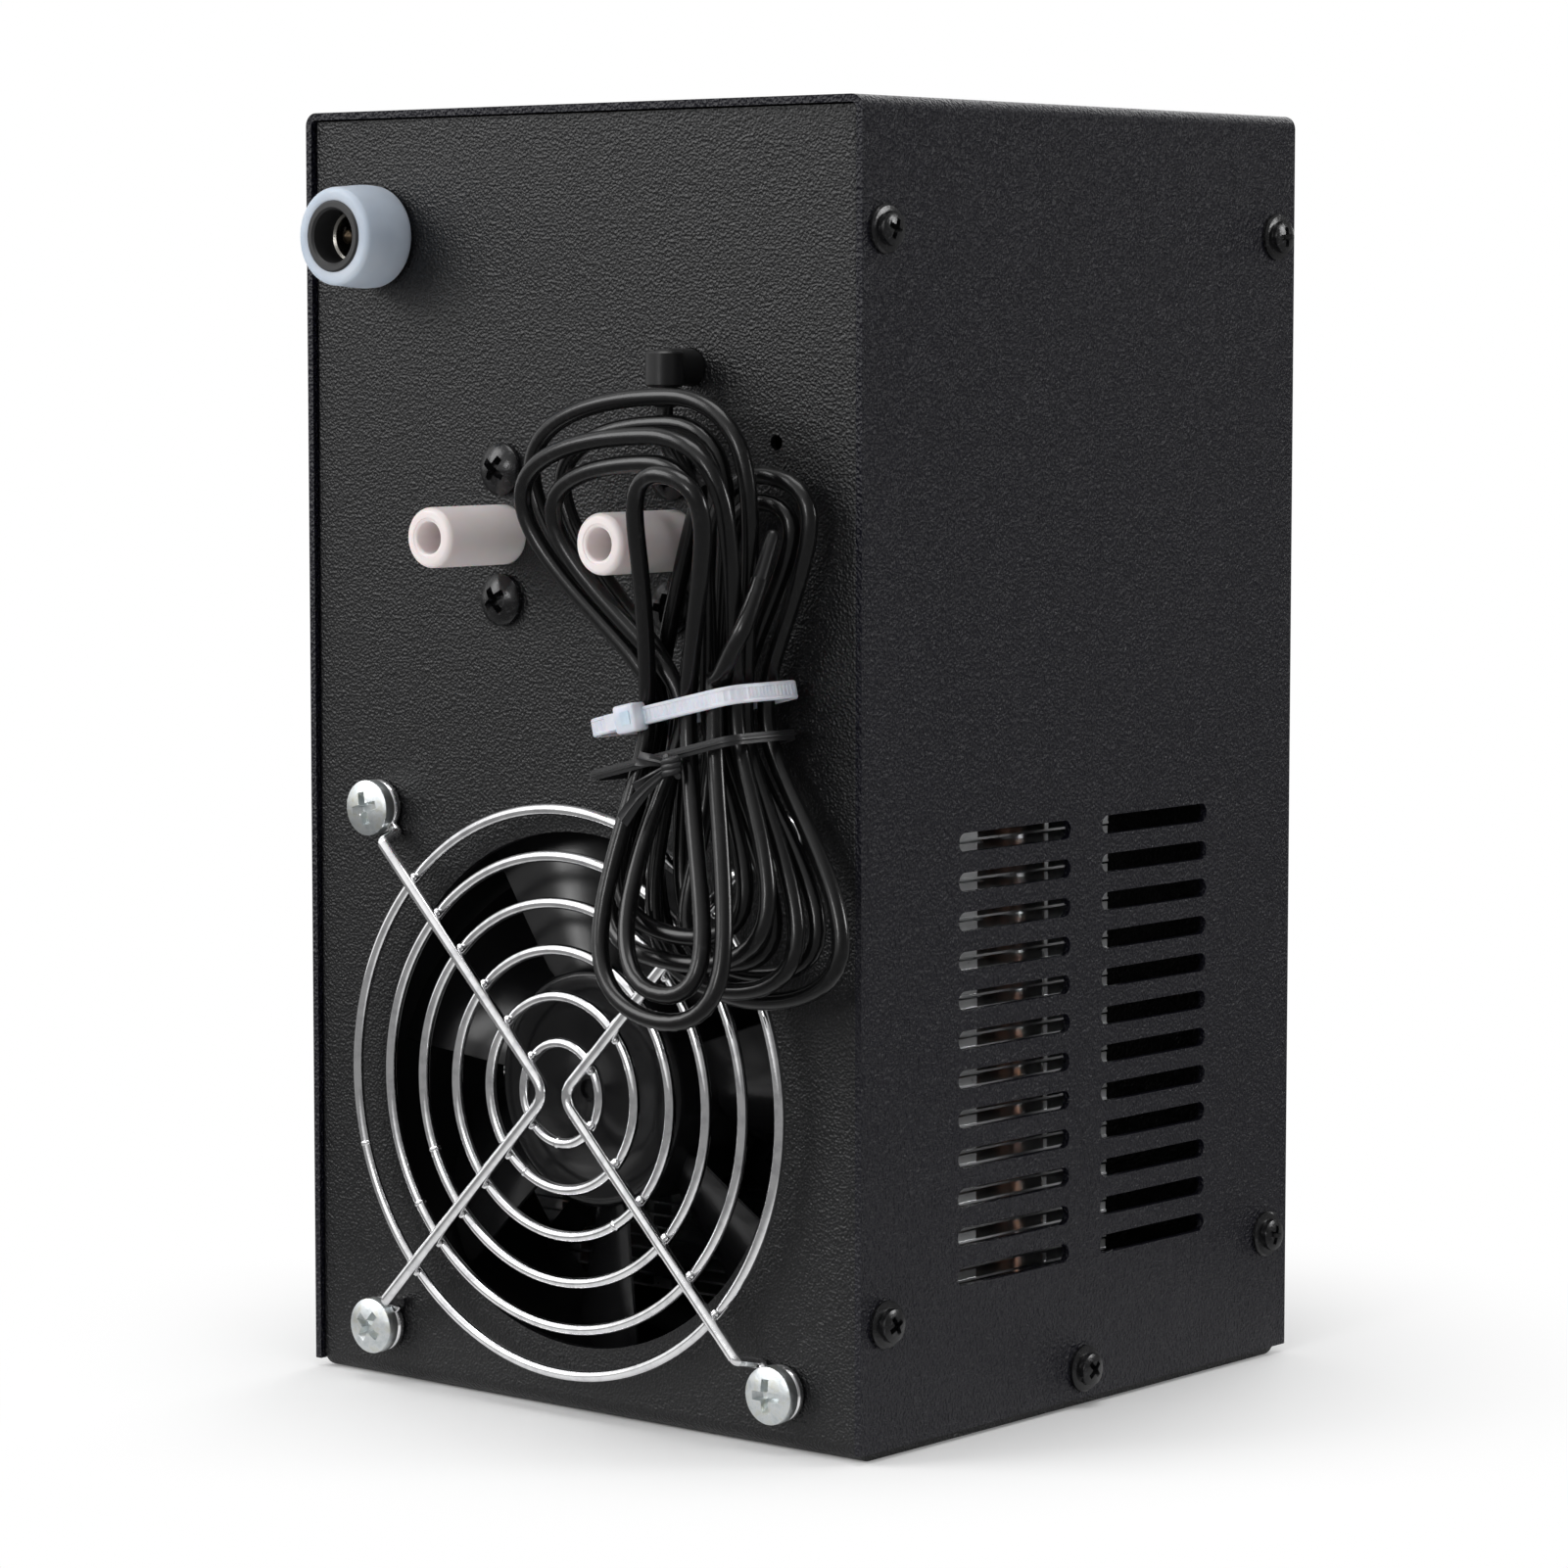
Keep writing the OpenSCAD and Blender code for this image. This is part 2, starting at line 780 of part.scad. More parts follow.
// hose nozzle with its flange behind the panel, z = 0 at the panel's outer face
module nozzle() {
    r = nozzle_d / 2;
    back = -sheet - nozzle_flange_t;
    difference() {
        union() {
            translate([0, 0, back]) {
                linear_extrude(nozzle_flange_t) {
                    circle(nozzle_flange_r);
                    square([2 * nozzle_ear_r, 2 * nozzle_screw_dz], center = true);
                    for (s = [-1, 1]) translate([0, s * nozzle_screw_dz]) circle(nozzle_ear_r);
                }
            }
            rotate_extrude() {
                translate([0, -sheet - over]) square([r - nozzle_neck_step, sheet + 2 * over]);
                square([r, nozzle_len - nozzle_rim]);
                square([r - nozzle_rim, nozzle_len]);
                translate([r - nozzle_rim, nozzle_len - nozzle_rim]) circle(nozzle_rim);
            }
            translate([0, 0, back - barb_len]) {
                cylinder(h = barb_len + over, r = barb_r - barb_ridge);
                cylinder(h = ridge_len, r1 = barb_r - barb_ridge, r2 = barb_r);
            }
        }
        translate([0, 0, back - barb_len - over])
            cylinder(h = nozzle_len - back + barb_len + 2 * over, d = nozzle_bore_d);
        for (s = [-1, 1])
            translate([0, s * nozzle_screw_dz, back - over])
                cylinder(h = nozzle_flange_t + 2 * over, r = ns_r + fit);
    }
}

module inlet_nozzle() {
    color("#f2f2ee")
    on_rear() translate([nozzle_x - nozzle_pitch / 2, nozzle_z, 0]) nozzle();
}

module outlet_nozzle() {
    color("#f2f2ee")
    on_rear() translate([nozzle_x + nozzle_pitch / 2, nozzle_z, 0]) nozzle();
}

module nozzle_screws() {
    color("#141414")
    on_rear() at_nozzle_screws() {
        cross_head(ns_head_r, ns_head_h, ns_dome, fs_cross_w, cross_depth);
        translate([0, 0, -ns_len]) cylinder(h = ns_len, r = ns_r);
    }
}

module nozzle_nuts() {
    color("#c4c4c4")
    on_rear() at_nozzle_screws()
        translate([0, 0, -sheet - nozzle_flange_t - nut_h])
            difference() {
                hex(nut_af, nut_h);
                translate([0, 0, -over]) cylinder(h = nut_h + 2 * over, r = ns_r + fit);
            }
}

module at_jack() {
    on_rear() translate([jack_x, jack_z, 0]) children();
}

module jack_sleeve() {
    color([0.9, 0.92, 0.93, 0.6])
    at_jack()
        rotate_extrude()
            difference() {
                union() {
                    square([sleeve_r - sleeve_round, sleeve_len]);
                    translate([0, sleeve_round]) square([sleeve_r, sleeve_len - 2 * sleeve_round]);
                    for (z = [sleeve_round, sleeve_len - sleeve_round])
                        translate([sleeve_r - sleeve_round, z]) circle(sleeve_round);
                }
                translate([0, -over]) square([jack_r, sleeve_len + 2 * over]);
            }
}

module jack_body() {
    color("#101012")
    at_jack()
        difference() {
            translate([0, 0, -jack_in]) cylinder(h = jack_in + jack_len, r = jack_r);
            translate([0, 0, -jack_bore_in]) cylinder(h = jack_bore_in + jack_len + over, r = jack_bore_r);
        }
}

module jack_ring() {
    color("#c8b98a")
    at_jack() translate([0, 0, jack_foot - jack_bore_in])
        difference() {
            cylinder(h = jack_len + jack_bore_in - jack_foot - jack_ring_back, r = jack_bore_r);
            translate([0, 0, -over])
                cylinder(h = jack_len + jack_bore_in + over, r = jack_bore_r - jack_ring_wall);
        }
}

module jack_pin() {
    color("#d2d2d2")
    at_jack() translate([0, 0, -jack_bore_in]) {
        cylinder(h = jack_foot, r = jack_bore_r);
        cylinder(h = jack_len + jack_bore_in - jack_pin_back - jack_pin_r, r = jack_pin_r);
        translate([0, 0, jack_len + jack_bore_in - jack_pin_back - jack_pin_r]) sphere(jack_pin_r);
    }
}

module jack_nut() {
    color("#b9b9bb")
    at_jack() translate([0, 0, -sheet - jack_nut_h])
        difference() {
            hex(jack_nut_af, jack_nut_h);
            translate([0, 0, -over]) cylinder(h = jack_nut_h + 2 * over, r = jack_r + fit);
        }
}

module strain_relief() {
    color("#141416")
    on_rear() translate([relief_x, relief_z, 0]) {
        translate([0, 0, -sheet - relief_flange_t]) cylinder(h = relief_flange_t, r = relief_flange_r);
        translate([0, 0, -sheet - over]) cylinder(h = sheet + over + relief_out, r = relief_r);
        translate([0, relief_body_top, relief_out])
            rotate([90, 0, 0]) {
                cylinder(h = relief_body_top + relief_body_low, r = relief_body_r);
                cylinder(h = relief_body_top + relief_body_low + relief_neck_len, r = relief_neck_r);
            }
    }
}

function ease(a) = let (b = min(max(a, 0), 1)) b * b * (3 - 2 * b);
function mixed(table, f) =
    let (i = min(floor(f), len(table) - 2)) table[i] + (f - i) * (table[i + 1] - table[i]);
// turns spiral in over one layer and out again over the next
function inward(t) = t <= 0 ? t : let (m = t % (2 * hank_turns)) min(m, 2 * hank_turns - m);
function hank_layer_at(t) =
    let (b = floor(t / hank_turns + 0.5))
        b <= 0 ? 0 : b >= hank_layers ? hank_layers - 1
            : b - 1 + ease((t - b * hank_turns + hank_climb) / (2 * hank_climb));
function hank_at(t) =
    let (
        c = cos(225 - 360 * t),
        s = sin(225 - 360 * t),
        p = c * c / sqrt(c * c + hank_squeeze * hank_squeeze),
        e = inward(t),
        f = hank_layer_at(t),
        row = mixed(c > 0 ? hank_top : hank_low, f),
        bulge = s > 0 ? row[3] : row[2],
        side = hank_side_step * (hank_side_mid - e)
    )
        off_panel([
            hank_x + row[1] * p + s * (side + bulge * (1 - hank_tighten * e) * p + hank_round * pow(c, 4)),
            hank_z + (row[0] - hank_nest * e) * c,
            (hank_off + f * hank_layer) * (1 - p) + row[4] * p
        ]);
function hank_run(steps) = [for (t = [hank_start : 1 / steps : hank_end + 0.001]) hank_at(t)];
function least_gap(p, skip) =
    min([for (i = [0 : len(p) - 1 - skip]) min([for (j = [i + skip : len(p) - 1]) norm(p[i] - p[j])])]);
function steps_of(p) = [for (i = [1 : len(p) - 1]) norm(p[i] - p[i - 1])];
function run_length(p) = steps_of(p) * [for (i = [1 : len(p) - 1]) 1];

hank_first = hank_at(hank_start);
hank_in_dir = unit(hank_at(hank_start + 1 / hank_rings) - hank_first);
hank_last = hank_at(hank_end);
hank_out_dir = unit(hank_last - hank_at(hank_end - 1 / hank_rings));
hank_from = hank_first - lead_d * hank_in_dir;
hank_to = hank_last + lead_d * hank_out_dir;
relief_foot = off_panel([relief_x, relief_z - relief_body_low - relief_neck_len, relief_out]);

module sensor_cord() {
    p = concat([relief_foot], all_off(lead_route), [hank_from - lead_d * hank_in_dir, hank_from]);
    echo(sensor_cord_length = run_length(p));
    color("#17171a") tube(p, lead_d / 2, lead_sides);
}

module sensor_hank() {
    fine = hank_run(2 * hank_rings);
    echo(hank_length = run_length(fine) + 2 * lead_d, hank_least_gap = least_gap(fine, 6) - lead_d);
    color("#17171a")
        tube(concat([hank_from], hank_run(hank_rings), [hank_to]), lead_d / 2, hank_sides);
}

probe_points = all_off(probe_route);
probe_back = unit(probe_points[0] - probe_points[1]);
tail_points = concat(
    [hank_to, hank_to + lead_d * hank_out_dir],
    all_off(tail_route),
    [probe_points[0] + lead_d * probe_back, probe_points[0]]
);

module sensor_tail() {
    echo(tail_length = run_length(tail_points));
    color("#17171a") tube(tail_points, lead_d / 2, lead_sides);
}

module sensor_probe() {
    color("#0f0f10") tube(probe_points, probe_d / 2, lead_sides);
}

// band round the hank, from x a to b: local x across, y off the panel, z up
module tie_band(a, b, far, w, t, tilt, z) {
    translate([(a + b) / 2, -panel_y, z])
        rotate([0, -tilt, 0])
            mirror([0, 1, 0])
                translate([0, 0, -w / 2])
                    linear_extrude(w)
                        translate([0, (tie_near + far) / 2])
                            difference() {
                                rounded2d(b - a + 2 * t, far - tie_near + 2 * t, tie_round + t);
                                rounded2d(b - a, far - tie_near, tie_round);
                            }
}

module zip_tie() {
    color("#dfe6ea") {
        tie_band(tie_left, tie_right, tie_far, tie_w, tie_t, tie_tilt, tie_z);
        translate([(tie_left + tie_right) / 2, -panel_y, tie_z])
            rotate([0, -tie_tilt, 0])
                translate([tie_head_x - tie_head / 2, -tie_far - tie_head_t, -tie_head / 2])
                    cube([tie_head, tie_head_t, tie_head]);
    }
}

module twist_tie() {
    color("#0e0e10") {
        tie_band(twist_left, twist_right, twist_far, twist_w, twist_t, twist_tilt, twist_z);
        translate(off_panel(twist_mid)) sphere(twist_knot_r);
        for (p = twist_tails) rod(off_panel(twist_mid), off_panel(p), twist_t / 2);
    }
}

tile_z = base_z + base_h;
block_z = tile_z + tile_t;
lid_z = block_z + block_h + gasket_h;
lid_top = lid_z + lid_h;
base_bottom = base_z;

module at_core(x) {
    translate([x, core_y, 0]) children();
}

module water_block() {
    color("#b6bbbf")
    difference() {
        union() {
            at_core(nozzle_x)
                translate([0, 0, block_z + block_h / 2])
                    cube([block_size, block_size, block_h], center = true);
            for (s = [-1, 1])
                translate([nozzle_x + s * nozzle_pitch / 2, core_y - block_size / 2, nozzle_z])
                    rotate([90, 0, 0]) {
                        translate([0, 0, -over]) cylinder(h = barb_len + over, r = barb_r - barb_ridge);
                        translate([0, 0, barb_len - ridge_len])
                            cylinder(h = ridge_len, r1 = barb_r, r2 = barb_r - barb_ridge);
                    }
        }
        at_core(nozzle_x)
            translate([0, 0, block_z + block_h - channel_h / 2])
                cube([
                    block_size - 2 * gasket_wall,
                    block_size - 2 * gasket_wall,
                    channel_h + over
                ], center = true);
        for (s = [-1, 1])
            translate([nozzle_x + s * nozzle_pitch / 2, core_y - block_size / 2 + gasket_wall, nozzle_z])
                rotate([90, 0, 0])
                    translate([0, 0, -over]) cylinder(h = gasket_wall + barb_len + 2 * over, r = barb_bore_r);
    }
}

module block_gasket() {
    color("#7c2a22")
    at_core(nozzle_x) translate([0, 0, block_z + block_h])
        linear_extrude(gasket_h)
            difference() {
                square([block_size, block_size], center = true);
                square([block_size - 2 * gasket_wall, block_size - 2 * gasket_wall], center = true);
            }
}

module block_lid() {
    color("#a9aeb2")
    at_core(nozzle_x) translate([0, 0, lid_z + lid_h / 2])
        cube([block_size, block_size, lid_h], center = true);
}

foam_half = block_size / 2 + foam_t;
hose_from = panel_in - nozzle_flange_t - hose_play;
hose_to = foam_half - core_y + hose_play;

module hose(s) {
    translate([nozzle_x + s * nozzle_pitch / 2, -hose_from, nozzle_z])
        rotate([-90, 0, 0])
            difference() {
                cylinder(h = hose_from - hose_to, r = barb_r + hose_wall);
                translate([0, 0, -over]) cylinder(h = hose_from - hose_to + 2 * over, r = barb_r);
            }
}

module inlet_tube() {
    color([0.85, 0.88, 0.9, 0.7]) hose(-1);
}

module outlet_tube() {
    color([0.85, 0.88, 0.9, 0.7]) hose(1);
}

module tube_clips() {
    r = barb_r + hose_wall;
    color("#8f9396")
    for (s = [-1, 1], y = [clip_in, clip_out])
        translate([nozzle_x + s * nozzle_pitch / 2, y - hose_from, nozzle_z])
            rotate([-90, 0, 0])
                difference() {
                    union() {
                        cylinder(h = clip_len, r = r + clip_wall);
                        translate([-clip_ear, -r - clip_wall - clip_ear, 0])
                            cube([2 * clip_ear, clip_ear + clip_wall, clip_len]);
                    }
                    translate([0, 0, -over]) cylinder(h = clip_len + 2 * over, r = r);
                }
}

module peltier() {
    color("#e9e9e4")
    at_core(nozzle_x) {
        for (z = [tile_z, tile_z + tile_t - tile_shell])
            translate([0, 0, z + tile_shell / 2])
                cube([tile_size, tile_size, tile_shell], center = true);
        translate([0, 0, tile_z + tile_t / 2])
            cube([tile_size - 2 * tile_inset, tile_size - 2 * tile_inset, tile_t], center = true);
    }
}

module foam_jacket() {
    color("#26262a")
    difference() {
        at_core(nozzle_x)
            translate([0, 0, (tile_z + lid_top) / 2])
                cube([2 * foam_half, 2 * foam_half, lid_top - tile_z], center = true);
        at_core(nozzle_x)
            translate([0, 0, (tile_z + lid_top) / 2])
                cube([block_size, block_size, lid_top - tile_z + 2 * over], center = true);
        for (s = [-1, 1])
            translate([nozzle_x + s * nozzle_pitch / 2, core_y, nozzle_z])
                rotate([90, 0, 0]) cylinder(h = foam_half + over, r = barb_r + hose_play);
        for (s = [-1, 1])
            translate([nozzle_x + s * tile_wire_x, core_y, tile_z + tile_t / 2])
                rotate([-90, 0, 0]) cylinder(h = foam_half + over, r = wire_r + loose);
    }
}

module clamp_plate() {
    color("#6f7376")
    at_core(nozzle_x) translate([0, 0, lid_top])
        difference() {
            translate([0, 0, clamp_t / 2]) cube([clamp_w, clamp_d, clamp_t], center = true);
            for (a = [-1, 1], b = [-1, 1])
                translate([a * clamp_dx, b * clamp_dy, -over])
                    cylinder(h = clamp_t + 2 * over, r = ks_r + loose);
        }
}

module clamp_screws() {
    l = lid_top + clamp_t - tile_z + ks_in;
    color("#c9c9c9")
    at_core(nozzle_x)
        for (a = [-1, 1], b = [-1, 1])
            translate([a * clamp_dx, b * clamp_dy, lid_top + clamp_t]) {
                cross_head(ks_head_r, ks_head_h, cs_dome, cross_w, cross_depth);
                translate([0, 0, -l]) cylinder(h = l, r = ks_r);
            }
}

pipe_run_z = base_z + base_h / 2;
pipe_rows = [for (k = [0 : pipe_count - 1]) (k - (pipe_count - 1) / 2) * pipe_step];

module heatsink_base() {
    color("#9aa0a4")
    at_core(0)
        difference() {
            translate([0, 0, base_z + base_h / 2]) cube([base_w, base_d, base_h], center = true);
            for (y = pipe_rows)
                translate([0, y, pipe_run_z])
                    rotate([0, 90, 0])
                        cylinder(h = base_w + 2 * over, r = pipe_d / 2 + fit, center = true);
            for (a = [-1, 1], b = [-1, 1])
                translate([nozzle_x + a * clamp_dx, b * clamp_dy, tile_z - ks_in])
                    cylinder(h = ks_in + over, r = ks_r + fit);
        }
}

module heat_pipe() {
    r = pipe_d / 2;
    run = pipe_leg_x - pipe_bend;
    translate([0, 0, pipe_run_z]) rotate([0, 90, 0]) cylinder(h = 2 * run, r = r, center = true);
    for (s = [0, 1])
        mirror([s, 0, 0]) {
            translate([run, 0, pipe_run_z - pipe_bend])
                rotate([90, 0, 0])
                    rotate_extrude(angle = 90) translate([pipe_bend, 0]) circle(r);
            translate([pipe_leg_x, 0, pipe_low_z])
                cylinder(h = pipe_run_z - pipe_bend - pipe_low_z, r = r);
            translate([pipe_leg_x, 0, pipe_low_z]) sphere(r);
        }
}

module heat_pipes() {
    color("#b06a44")
    at_core(0) for (y = pipe_rows) translate([0, y, 0]) heat_pipe();
}

module fin_stack() {
    h = (fin_count - 1) * fin_pitch + fin_t;
    color("#b9bdc0")
    translate([0, core_y, fin_low_z])
        difference() {
            union() {
                for (k = [0 : fin_count - 1])
                    translate([-fin_w / 2, -fin_d / 2, k * fin_pitch]) cube([fin_w, fin_d, fin_t]);
                for (a = [-1, 1]) {
                    for (y = [-fin_d / 2, fin_d / 2 - fin_tab])
                        translate([a * (fin_w - fin_t) / 2 - fin_t / 2, y, 0]) cube([fin_t, fin_tab, h]);
                    translate([a * (fin_w - fin_t) / 2 - fin_t / 2, fin_rib_y - fin_rib / 2, 0])
                        cube([fin_t, fin_rib, h]);
                }
            }
            for (a = [-1, 1], y = pipe_rows)
                translate([a * pipe_leg_x, y, -over]) cylinder(h = h + 2 * over, r = pipe_d / 2 + fit);
        }
}

module core_bracket() {
    color("#55585b")
    difference() {
        union() {
            translate([-bracket_w / 2, -bracket_back, base_bottom - bracket_t])
                cube([bracket_w, bracket_back + panel_in, bracket_t]);
            translate([-bracket_w / 2, panel_in - bracket_t, base_bottom - bracket_t - bracket_flange])
                cube([bracket_w, bracket_t, bracket_flange + bracket_t]);
        }
        on_front()
            for (s = [-1, 1])
                translate([s * bs_x, base_z - bs_drop, -sheet - bracket_t - over])
                    cylinder(h = bracket_t + 2 * over, r = cs_r + fit);
    }
}

module bracket_screws() {
    color("#151515")
    on_front() for (s = [-1, 1]) translate([s * bs_x, base_z - bs_drop, 0]) cover_screw(cs_len);
}

board_face = -sheet - board_off;

module control_board() {
    color("#1f5a34")
    on_front()
        translate([0, 0, board_face - board_t])
            difference() {
                translate([0, board_z, board_t / 2]) cube([board_w, board_h, board_t], center = true);
                translate([0, 0, -over])
                    at_posts() cylinder(h = board_t + 2 * over, r = post_bore_r + loose);
            }
}

module board_posts() {
    color("#c8c8c8")
    on_front() translate([0, 0, board_face])
        at_posts()
            difference() {
                hex(post_af, board_off);
                translate([0, 0, -over]) cylinder(h = bolt_in + over, r = post_bore_r + fit);
            }
}

module board_screws() {
    l = board_t + bolt_in - over;
    color("#c4c4c4")
    on_front() translate([0, 0, board_face - board_t])
        at_posts()
            mirror([0, 0, 1]) {
                cross_head(bolt_head_r, bolt_head_h, cs_dome, cross_w, cross_depth);
                translate([0, 0, -l]) cylinder(h = l, r = post_bore_r);
            }
}

module display_module() {
    color("#111114")
    on_front()
        translate([0, display_z, board_face + display_t / 2])
            cube([display_w, display_h, display_t], center = true);
}

module display_bezel() {
    lip = board_off - display_t + sheet;
    color("#19191b")
    on_front() translate([0, display_z, 0])
        difference() {
            union() {
                linear_extrude(bezel_t)
                    rounded2d(window_w + 2 * bezel_edge, window_h + 2 * bezel_edge, bezel_edge / 2);
                translate([0, 0, -lip])
                    linear_extrude(lip + over)
                        square([window_w - 2 * loose, window_h - 2 * loose], center = true);
            }
            translate([0, 0, -lip - over])
                linear_extrude(lip + bezel_t + 2 * over) square([lens_w, lens_h], center = true);
        }
}

module display_lens() {
    color([0.25, 0.02, 0.02])
    on_front()
        translate([0, display_z, lens_t / 2]) cube([lens_w, lens_h, lens_t], center = true);
}

// push button in its panel hole, z = 0 at the panel's outer face
module button_cap(k) {
    on_front() translate([k * button_step, button_z, 0]) {
        translate([0, 0, -button_in]) {
            cylinder(h = button_in + button_out - button_round, r = button_r);
            cylinder(h = button_in + button_out, r = button_r - button_round);
        }
        translate([0, 0, -sheet - cover_gap - button_flange_t])
            cylinder(h = button_flange_t, r = button_flange_r);
        translate([0, 0, button_out - button_round])
            rotate_extrude() translate([button_r - button_round, 0]) circle(button_round);
    }
}

module button_set() {
    color("#d8d8d8") button_cap(-1);
}

module button_up() {
    color("#d8d8d8") button_cap(0);
}

module button_down() {
    color("#d8d8d8") button_cap(1);
}

module switch_bodies() {
    tip = -button_in - plunger_gap;
    color("#1a1a1c")
    on_front()
        for (k = [-1 : 1])
            translate([k * button_step, button_z, board_face]) {
                translate([0, 0, switch_h / 2]) cube([switch_size, switch_size, switch_h], center = true);
                cylinder(h = tip - board_face, r = plunger_r);
            }
}

// parts on the board's inner face, z = 0 there and rising into the box
module inside_board() {
    translate([0, panel_in - board_off - board_t, 0]) rotate([90, 0, 0]) children();
}

module capacitor() {
    color("#1d2b4a")
    inside_board() translate([cap_x, cap_z - cap_r / 2, 0]) {
        cylinder(h = cap_len, r = cap_r);
        cylinder(h = cap_len + over / 2, r = cap_r - over);
    }
}

module terminal_block() {
    color("#2f6b46")
    inside_board() translate([0, term_z, 0])
        difference() {
            translate([0, 0, term_d / 2]) cube([term_w, term_h, term_d], center = true);
            for (k = [0 : term_poles - 1])
                translate([(k - (term_poles - 1) / 2) * term_step, 0, term_d / 2])
                    rotate([-90, 0, 0]) cylinder(h = term_h, r = term_screw_r);
        }
}

module power_chip() {
    color("#202020")
    inside_board() translate([chip_x, chip_z, 0])
        difference() {
            union() {
                translate([0, 0, chip_t / 2]) cube([chip_w, chip_h, chip_t], center = true);
                translate([0, (chip_h + chip_tab) / 2 - over / 2, chip_tab_t / 2])
                    cube([chip_w, chip_tab + over, chip_tab_t], center = true);
            }
            translate([0, (chip_h + chip_tab) / 2, -over])
                cylinder(h = chip_tab_t + 2 * over, r = chip_hole_r);
        }
}

term_face = panel_in - board_off - board_t - term_d;
function pole(k) = [(k - (term_poles - 1) / 2) * term_step, term_face, term_z];

// wire from a through the steps out, and through the steps back from b
module wire(a, out, b, end, r) {
    tube(concat([for (p = out) a + p], [for (p = end) b + p]), r, lead_sides);
}

module jack_wires() {
    color("#b02020")
    for (s = [0, 1])
        wire([jack_x + wire_r * (4 * s - 2), jack_in - panel_y, jack_z], jack_wire_out[s],
            pole(s), jack_wire_end, wire_r);
}

module tile_wires() {
    color("#a01818")
    for (s = [0, 1])
        wire([nozzle_x + (2 * s - 1) * tile_wire_x, core_y + tile_size / 2, tile_z + tile_t / 2],
            tile_wire_out[s], pole(2 + s), tile_wire_end, wire_r);
}

module fan_wires() {
    color("#101010")
    for (s = [0, 1])
        wire([s * fan_wire_step - fan_wire_x, fan_depth - panel_in - fan_wire_in, fan_z + fan_size / 2],
            fan_wire_out[s], pole(4 + s), fan_wire_end[s], wire_r);
}

module sensor_wire() {
    color("#17171a")
        wire(off_panel([relief_x, relief_z, -sheet - relief_flange_t]), sensor_wire_out,
            pole(6), sensor_wire_end, lead_d / 2);
}

cover();
chassis();
cover_screws();
fan_guard();
fan_screws();
fan_frame();
fan_bearing();
fan_stator();
fan_rotor();
fan_shaft();
fan_magnet();
inlet_nozzle();
outlet_nozzle();
nozzle_screws();
nozzle_nuts();
jack_sleeve();
jack_body();
jack_ring();
jack_pin();
jack_nut();
strain_relief();
sensor_cord();
sensor_hank();
sensor_tail();
sensor_probe();
zip_tie();
twist_tie();
water_block();
block_gasket();
block_lid();
inlet_tube();
outlet_tube();
tube_clips();
peltier();
foam_jacket();
clamp_plate();
clamp_screws();
heatsink_base();
heat_pipes();
fin_stack();
core_bracket();
bracket_screws();
control_board();
board_posts();
board_screws();
display_module();
display_bezel();
display_lens();
button_set();
button_up();
button_down();
switch_bodies();
capacitor();
terminal_block();
power_chip();
jack_wires();
tile_wires();
fan_wires();
sensor_wire();
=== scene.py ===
import bpy
import bmesh
import math
from mathutils import Matrix, Vector


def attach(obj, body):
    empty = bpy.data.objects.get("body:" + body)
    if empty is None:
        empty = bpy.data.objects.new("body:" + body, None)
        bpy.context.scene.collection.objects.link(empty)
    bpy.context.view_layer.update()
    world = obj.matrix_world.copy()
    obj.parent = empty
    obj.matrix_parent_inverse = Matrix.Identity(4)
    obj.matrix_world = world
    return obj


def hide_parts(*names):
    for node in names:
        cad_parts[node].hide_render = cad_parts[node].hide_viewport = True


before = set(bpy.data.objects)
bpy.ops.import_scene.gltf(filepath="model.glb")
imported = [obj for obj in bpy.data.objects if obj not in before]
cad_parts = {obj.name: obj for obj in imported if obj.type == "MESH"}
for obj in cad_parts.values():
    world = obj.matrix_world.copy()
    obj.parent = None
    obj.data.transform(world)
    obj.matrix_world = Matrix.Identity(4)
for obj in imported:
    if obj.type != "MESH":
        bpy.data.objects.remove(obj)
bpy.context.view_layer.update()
mm = 0.001
print("frame loaded")

# sizes shared with the solids, in millimetres
box = {"halfWidth": 49.0, "panelY": 46.9, "sheet": 1.0, "chassisHalf": 47.8}
fanPlace = {"z": 43.5, "depth": 25.0, "screwPitch": 71.5, "headLift": 1.6}
ports = {"nozzleX": (-13, 17), "nozzleZ": 117, "earRise": 8.7, "jack": (-35.7, 156.6), "bush": (20.1, 139.4)}
coreY = -3.7


# places on the panels: local z points out of the panel
def onPort(x, z, out=0.0):
    turn = Matrix(((1, 0, 0), (0, 0, -1), (0, 1, 0))).to_4x4()
    return Matrix.Translation(Vector((x, -box["panelY"] - out, z)) * mm) @ turn


def onFront(x, z, out=0.0):
    turn = Matrix(((-1, 0, 0), (0, 0, 1), (0, 1, 0))).to_4x4()
    return Matrix.Translation(Vector((-x, box["panelY"] + out, z)) * mm) @ turn


def onSide(side, y, z):
    turn = Matrix(((0, 0, side), (side, 0, 0), (0, 1, 0))).to_4x4()
    return Matrix.Translation(Vector((side * box["halfWidth"], side * y, z)) * mm) @ turn


def offPanel(p):
    # p is across, up and off the port panel
    return Vector((p[0], -box["panelY"] - p[2], p[1])) * mm


# mesh helpers: b is the mesh being drawn, in metres, and sizes are given in mm
def showMesh(mesh, name):
    piece = bpy.data.objects.new(name, mesh)
    bpy.context.scene.collection.objects.link(piece)
    return piece


def meshFrom(b, name, sharpAngle=38):
    bmesh.ops.recalc_face_normals(b, faces=b.faces)
    for face in b.faces:
        face.smooth = True
    for edge in b.edges:
        edge.smooth = len(edge.link_faces) == 2 and edge.calc_face_angle(0) < math.radians(sharpAngle)
    mesh = bpy.data.meshes.new(name)
    b.to_mesh(mesh)
    b.free()
    return mesh


